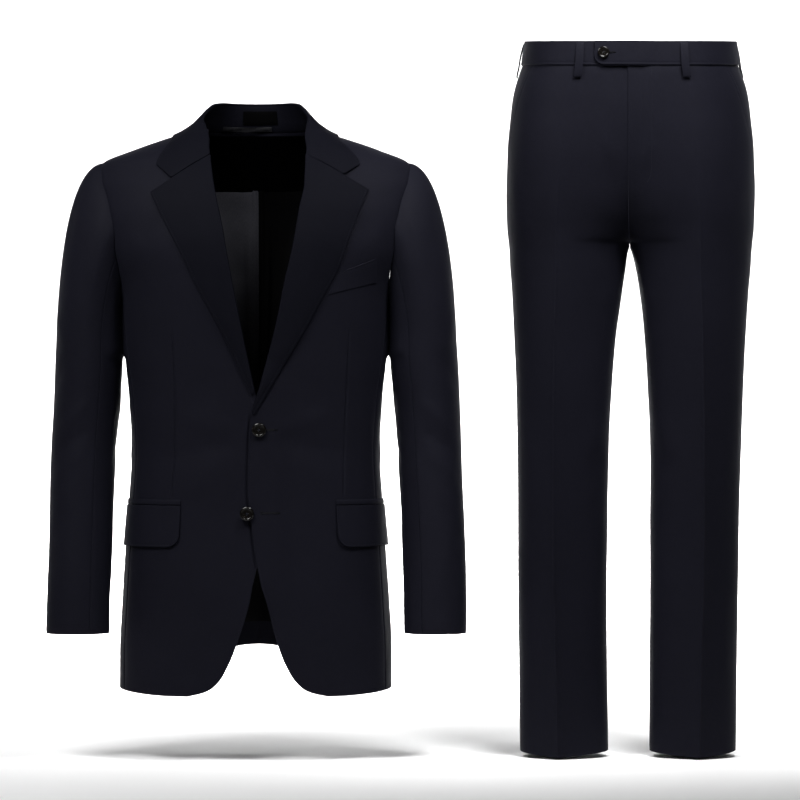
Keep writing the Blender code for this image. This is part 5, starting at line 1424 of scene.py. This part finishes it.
def stitches(name, lines, material, spacing, length, width, sink=0.25):
    """Rows of small stitches: each is a pointed oval of six sides and five rings, placed along its line."""
    rings = 5
    sides = 6
    t = np.linspace(-1, 1, rings + 2)[1:-1]
    around = np.linspace(0, 2 * np.pi, sides, endpoint=False)
    swell = np.repeat(np.sqrt(1 - t**2), sides)
    oval = np.concatenate([
        np.array([[-1.0, 0, 0]]),
        np.stack([np.repeat(t, sides), np.tile(np.cos(around), rings) * swell,
                  np.tile(np.sin(around), rings) * swell], axis=-1),
        np.array([[1.0, 0, 0]])])
    number = 1 + np.arange(rings * sides).reshape(rings, sides)
    body = grid_quads(rings, sides, 1, ring=True)
    low = np.stack([0 * number[0], np.roll(number[0], -1), number[0]], axis=-1)
    high = np.stack([0 * number[0] + len(oval) - 1, number[-1], np.roll(number[-1], -1)], axis=-1)
    tris = np.concatenate([body[:, [0, 1, 2]], body[:, [0, 2, 3]], low, high])
    points = []
    for line, normal in lines:
        place, way, share = along_line(line, spacing)
        out = unit(read_rows(share, np.linspace(0, 1, len(normal)), normal))
        across = np.cross(way, out)
        base = place - out * width * sink
        points.append(base[:, None] + oval[None, :, :1] * way[:, None] * length / 2
                      + oval[None, :, 1:2] * across[:, None] * width / 2
                      + oval[None, :, 2:] * out[:, None] * width / 2)
    points = np.concatenate(points)
    faces = tris[None] + len(oval) * np.arange(len(points))[:, None, None]
    add_piece(name, points.reshape(-1, 3), faces.reshape(-1, 3), material, sharp=180)


def buttonhole(name, centre, normal, level, length, eye, rise=lambda along: 0 * along):
    """A keyhole buttonhole: a close wound cord round a slit, with a rib for each stitch. Its centre line is
    a long narrow loop that widens to a round eye at its start and rises with the cloth."""
    ribs = 220
    sides = 8
    t = np.linspace(0, 2 * np.pi, ribs, endpoint=False)
    along = (1 - np.cos(t)) / 2 * length
    half = 0.75 * MM * np.sign(np.sin(t)) * np.abs(np.sin(t))**0.35
    half = half + ridge(along - 1.5 * eye, eye, 1.2 * eye) * np.sign(np.sin(t))
    up = np.cross(normal, level)
    line = centre + along[:, None] * level + half[:, None] * up + (0.1 * MM + rise(along))[:, None] * normal
    ring = np.linspace(0, 2 * np.pi, sides, endpoint=False)
    across = np.cross(unit(np.roll(line, -1, axis=0) - np.roll(line, 1, axis=0)), normal)
    thick = (0.5 + 0.12 * np.sin(np.arange(ribs) * 1.9))[:, None, None] * MM
    circle = np.cos(ring)[:, None] * across[:, None] + np.sin(ring)[:, None] * normal
    number = np.arange(ribs * sides).reshape(ribs, sides)
    number = np.concatenate([number, number[:1]])
    number = np.concatenate([number, number[:, :1]], axis=1)
    corners = [number[:-1, :-1], number[:-1, 1:], number[1:, 1:], number[1:, :-1]]
    quads = np.stack(corners, axis=-1).reshape(-1, 4)
    add_piece(name, line[:, None] + thick * circle, quads, BLACK_THREAD)


def on_front(x, height, off):
    """A point and outward direction on the jacket's front, off the form by a distance."""
    angle = front_angle(x, height)
    normal = torso_normal(height, angle)
    return torso(height, angle) + normal * np.asarray(off)[..., None], normal


def fastenings():
    """The three buttons on their seats, and the buttonholes beside them."""
    for word, x, z, shank, turn in FRONT_BUTTONS:
        seat, normal = on_front(np.array(x * MM), np.array(z * MM), LAP_LIFT + 0.4 * MM)
        button("jacket_button_" + word + "_horn", "jacket_button_" + word, seat, normal, 1.0, shank, turn)
    share = front_share(-1, np.array([-43.2, -29.0]) * MM, TAB_BUTTON_LEVEL)
    height = np.full(2, TAB_BUTTON_LEVEL)
    ends = leg(-1, share, height)
    normals = leg_normal(-1, share, height)
    out = BAND_LIFT + TAB_LIFT
    button("waistband_button_horn", "waistband_button", ends[0] + normals[0] * (out + 0.9 * MM), normals[0],
           0.82, 0.0, 0.7)
    for word, x, z, length in FRONT_HOLES:
        centre, normal = on_front(np.array(x * MM), np.array(z * MM), 0.0)
        far = on_front(np.array((x + length) * MM), np.array(z * MM), 0.0)[0]
        buttonhole("jacket_buttonhole_" + word, centre, normal, unit(far - centre), length * MM, 1.3 * MM,
                   lambda along, x0=x * MM, z=z * MM: lap_lift(x0 + along, z)
                   + front_relief(1, x0 + along, z + 0 * along) * ease((along + 8 * MM) / (16 * MM)))
    buttonhole("fly_tab_buttonhole", ends[0] + normals[0] * (out + 0.6 * MM), normals[1],
               unit(ends[1] - ends[0]), 17 * MM, 0.9 * MM)


def jacket_sewing(lapels, collar_outer):
    """Pick stitching along lapels, front edges, flaps and the collar's two ends in front."""
    lines = []
    for outer, normal, from_edge in lapels:
        cols = np.argmin(np.abs(from_edge - STITCH_INSET), axis=1)
        rows = np.arange(len(cols))
        wide = from_edge[:, 0] > 14 * MM
        lines.append((outer[:, ROLL_STEPS - 1:][rows, cols][wide], normal[rows, cols][wide]))
    for side, edge, low, high in ((1, OVER_EDGE, -772, -440), (-1, UNDER_EDGE, -772, -620)):
        height = np.linspace(low, high, 160) * MM
        x = line_x(edge, height) + side * STITCH_INSET
        lines.append(on_front(x, height, lap_lift(x, height) if side > 0 else 0 * x))
    for side in (1, -1):
        run = FLAP_STITCH_INSET + (FLAP_LENGTH - 2 * FLAP_STITCH_INSET) * np.linspace(0, 1, 160)
        bottom = flap_foot(np.minimum(run, FLAP_LENGTH - run), FLAP_STITCH_INSET)
        angle = arc_angles(FLAP_TOP, front_angle(FLAP_FRONT[side], FLAP_TOP), FLAP_LENGTH, run / FLAP_LENGTH)
        normal = torso_normal(bottom, side * angle)
        lift = LAY_GAP + THIN_WALL + 1.2 * MM
        lines.append((torso(bottom, side * angle) + normal * lift, normal))
    stitches("pick_stitching_jacket", lines, NAVY_THREAD, *PICK_STITCH)
    length = arc_lengths(collar_outer, 0)
    count = collar_outer.shape[1]
    rows = np.argmin(np.abs(length[-1:] - length - STITCH_INSET), axis=0)
    line = collar_outer[rows, np.arange(count)]
    front_out = np.tile(np.array([[0.0, -0.75, 0.66]]), (30, 1))
    stitches("pick_stitching_collar", [(line[4:int(0.2 * count)], front_out),
                                       (line[int(0.8 * count):count - 4], front_out)],
             NAVY_THREAD, *PICK_STITCH)


def on_leg_front(side, p, height):
    """Points and outward directions on the surface of a leg's front."""
    normal = leg_normal(side, p, height)
    return leg(side, p, height) + normal * leg_front_relief(side, p, height)[:, None], normal


def trouser_sewing():
    """The fly's stitched line, straight down and then a quarter turn towards the middle, and a row along
    each pocket mouth."""
    bend = np.radians(np.linspace(0, 80, 40))
    z = np.concatenate([np.linspace(91.5, -58.6, 120), -58.6 - 22 * np.sin(bend)]) * MM
    x = np.concatenate([np.full(120, 24.3), 24.3 - 9 * (1 - np.cos(bend))]) * MM
    share = np.array([float(front_share(1, a, b)) for a, b in zip(x, z)])
    lines = [on_leg_front(1, share, z)]
    z = np.linspace(POCKET_BOTTOM + 8 * MM, 90 * MM, 90)
    for side in (1, -1):
        lines.append(on_leg_front(side, pocket_mouth(z) + POCKET_STITCH_INSET / QUARTER, z))
    stitches("fly_and_pocket_stitching", lines, NAVY_THREAD, 3.0 * MM, 2.2 * MM, 0.5 * MM, 0.0)


# Setting

FLOOR_LEVEL = -889 * MM
ROOM_LIGHT = 0.055
LENS_LENGTH = 190.1
CAMERA_PLACE = (0.2045, -6.0, -0.3834)

# Depth and height along the floor, which sweeps up behind.
FLOOR_SWEEP = ((-9, 0), (-4, 0), (0, 0), (3, 0), (5, 0.15), (6.6, 0.9), (7.4, 2.4), (7.6, 6))

# Each light's name, place, aim, size, power and spread in degrees.
LIGHTS = (("key", (-0.75, -1.2, 1.2), (-0.15, 0, -0.3), 0.9, 17, 100),
          ("fill", (0.8, -0.8, 1.1), (0.56, 0, -0.05), 0.6, 6.4, 55),
          ("floor", (0.2, 3.6, 3.0), (0.2, 3.5, -0.9), 2.6, 260, 70),
          ("backdrop", (0.2, 3.0, 3.6), (0.2, 7.4, 0.6), 4.0, 600, 180))

def setting():
    """A pale floor that sweeps up behind, large soft lights, and the camera level with the suit's middle."""
    profile = np.array(FLOOR_SWEEP)
    rows = 60
    t = np.linspace(0, len(profile) - 1, rows)
    y = np.interp(t, np.arange(len(profile)), profile[:, 0])[:, None]
    z = np.interp(t, np.arange(len(profile)), profile[:, 1])[:, None]
    x = np.linspace(-9, 9, 30)
    points = np.stack([x + 0 * y, y + 0 * x, FLOOR_LEVEL + z + 0 * x], axis=-1)
    mesh = bpy.data.meshes.new("pale_floor")
    mesh.from_pydata(points.reshape(-1, 3), [], grid_quads(rows, len(x)))
    mesh.shade_smooth()
    material, tree, shader = new_material("pale_paper")
    coords = tree.nodes.new("ShaderNodeTexCoord")
    grain = add_node(tree, "ShaderNodeTexNoise", Vector=coords.outputs["Object"], Scale=3.0, Detail=2.0)
    tone = mixed(tree, grain.outputs[0], (0.93, 0.93, 0.93, 1), (0.96, 0.96, 0.96, 1))
    tree.links.new(tone, shader.inputs["Base Color"])
    shader.inputs["Roughness"].default_value = 0.9
    mesh.materials.append(material)
    floor = bpy.data.objects.new("pale_floor", mesh)
    bpy.context.scene.collection.objects.link(floor)
    for name, place, aim, size, power, spread in LIGHTS:
        data = bpy.data.lights.new(name, "AREA")
        data.shape = "SQUARE"
        data.size = size
        data.energy = power
        data.spread = np.radians(spread)
        lamp = bpy.data.objects.new(name, data)
        bpy.context.scene.collection.objects.link(lamp)
        way = np.array(aim) - np.array(place)
        lamp.location = place
        lamp.rotation_euler = (np.arctan2(np.hypot(way[0], way[1]), -way[2]), 0,
                               np.arctan2(way[1], way[0]) - np.pi / 2)
    world = bpy.data.worlds.new("soft_room")
    world.use_nodes = True
    world.node_tree.nodes["Background"].inputs[0].default_value = (0.97, 0.98, 1.0, 1)
    world.node_tree.nodes["Background"].inputs[1].default_value = ROOM_LIGHT
    bpy.context.scene.world = world
    lens = bpy.data.cameras.new("view")
    lens.lens = LENS_LENGTH
    lens.sensor_width = 36
    lens.clip_end = 100
    camera = bpy.data.objects.new("view", lens)
    camera.location = CAMERA_PLACE
    camera.rotation_euler = (np.pi / 2, 0, 0)
    bpy.context.scene.collection.objects.link(camera)
    bpy.context.scene.camera = camera
    bpy.context.scene.view_settings.view_transform = "Standard"


front("left", 1, OVER_EDGE, -395 * MM)
front("right", -1, UNDER_EDGE, -365 * MM)
for word, side in SIDES:
    side_body(word, side)
    back(word, side)
    sleeve_cloth("top", word, side, -BACK_SEAM_TAU, FORE_SEAM_TAU, 78)
    sleeve_cloth("under", word, side, FORE_SEAM_TAU, 360 - BACK_SEAM_TAU, 46)
lapels = [lapel("left", 1, OVER_LAPEL, OVER_GORGE_TOP, OVER_EDGE, OVER_BREAK),
          lapel("right", -1, UNDER_LAPEL, UNDER_GORGE_TOP, UNDER_EDGE, UNDER_BREAK)]
collar_outer = collar()
lining()
yoke()
label_and_loop()
pockets()
welt()
trouser_panels()
waistband()
belt_loops()
fastenings()
jacket_sewing(lapels, collar_outer)
trouser_sewing()
setting()
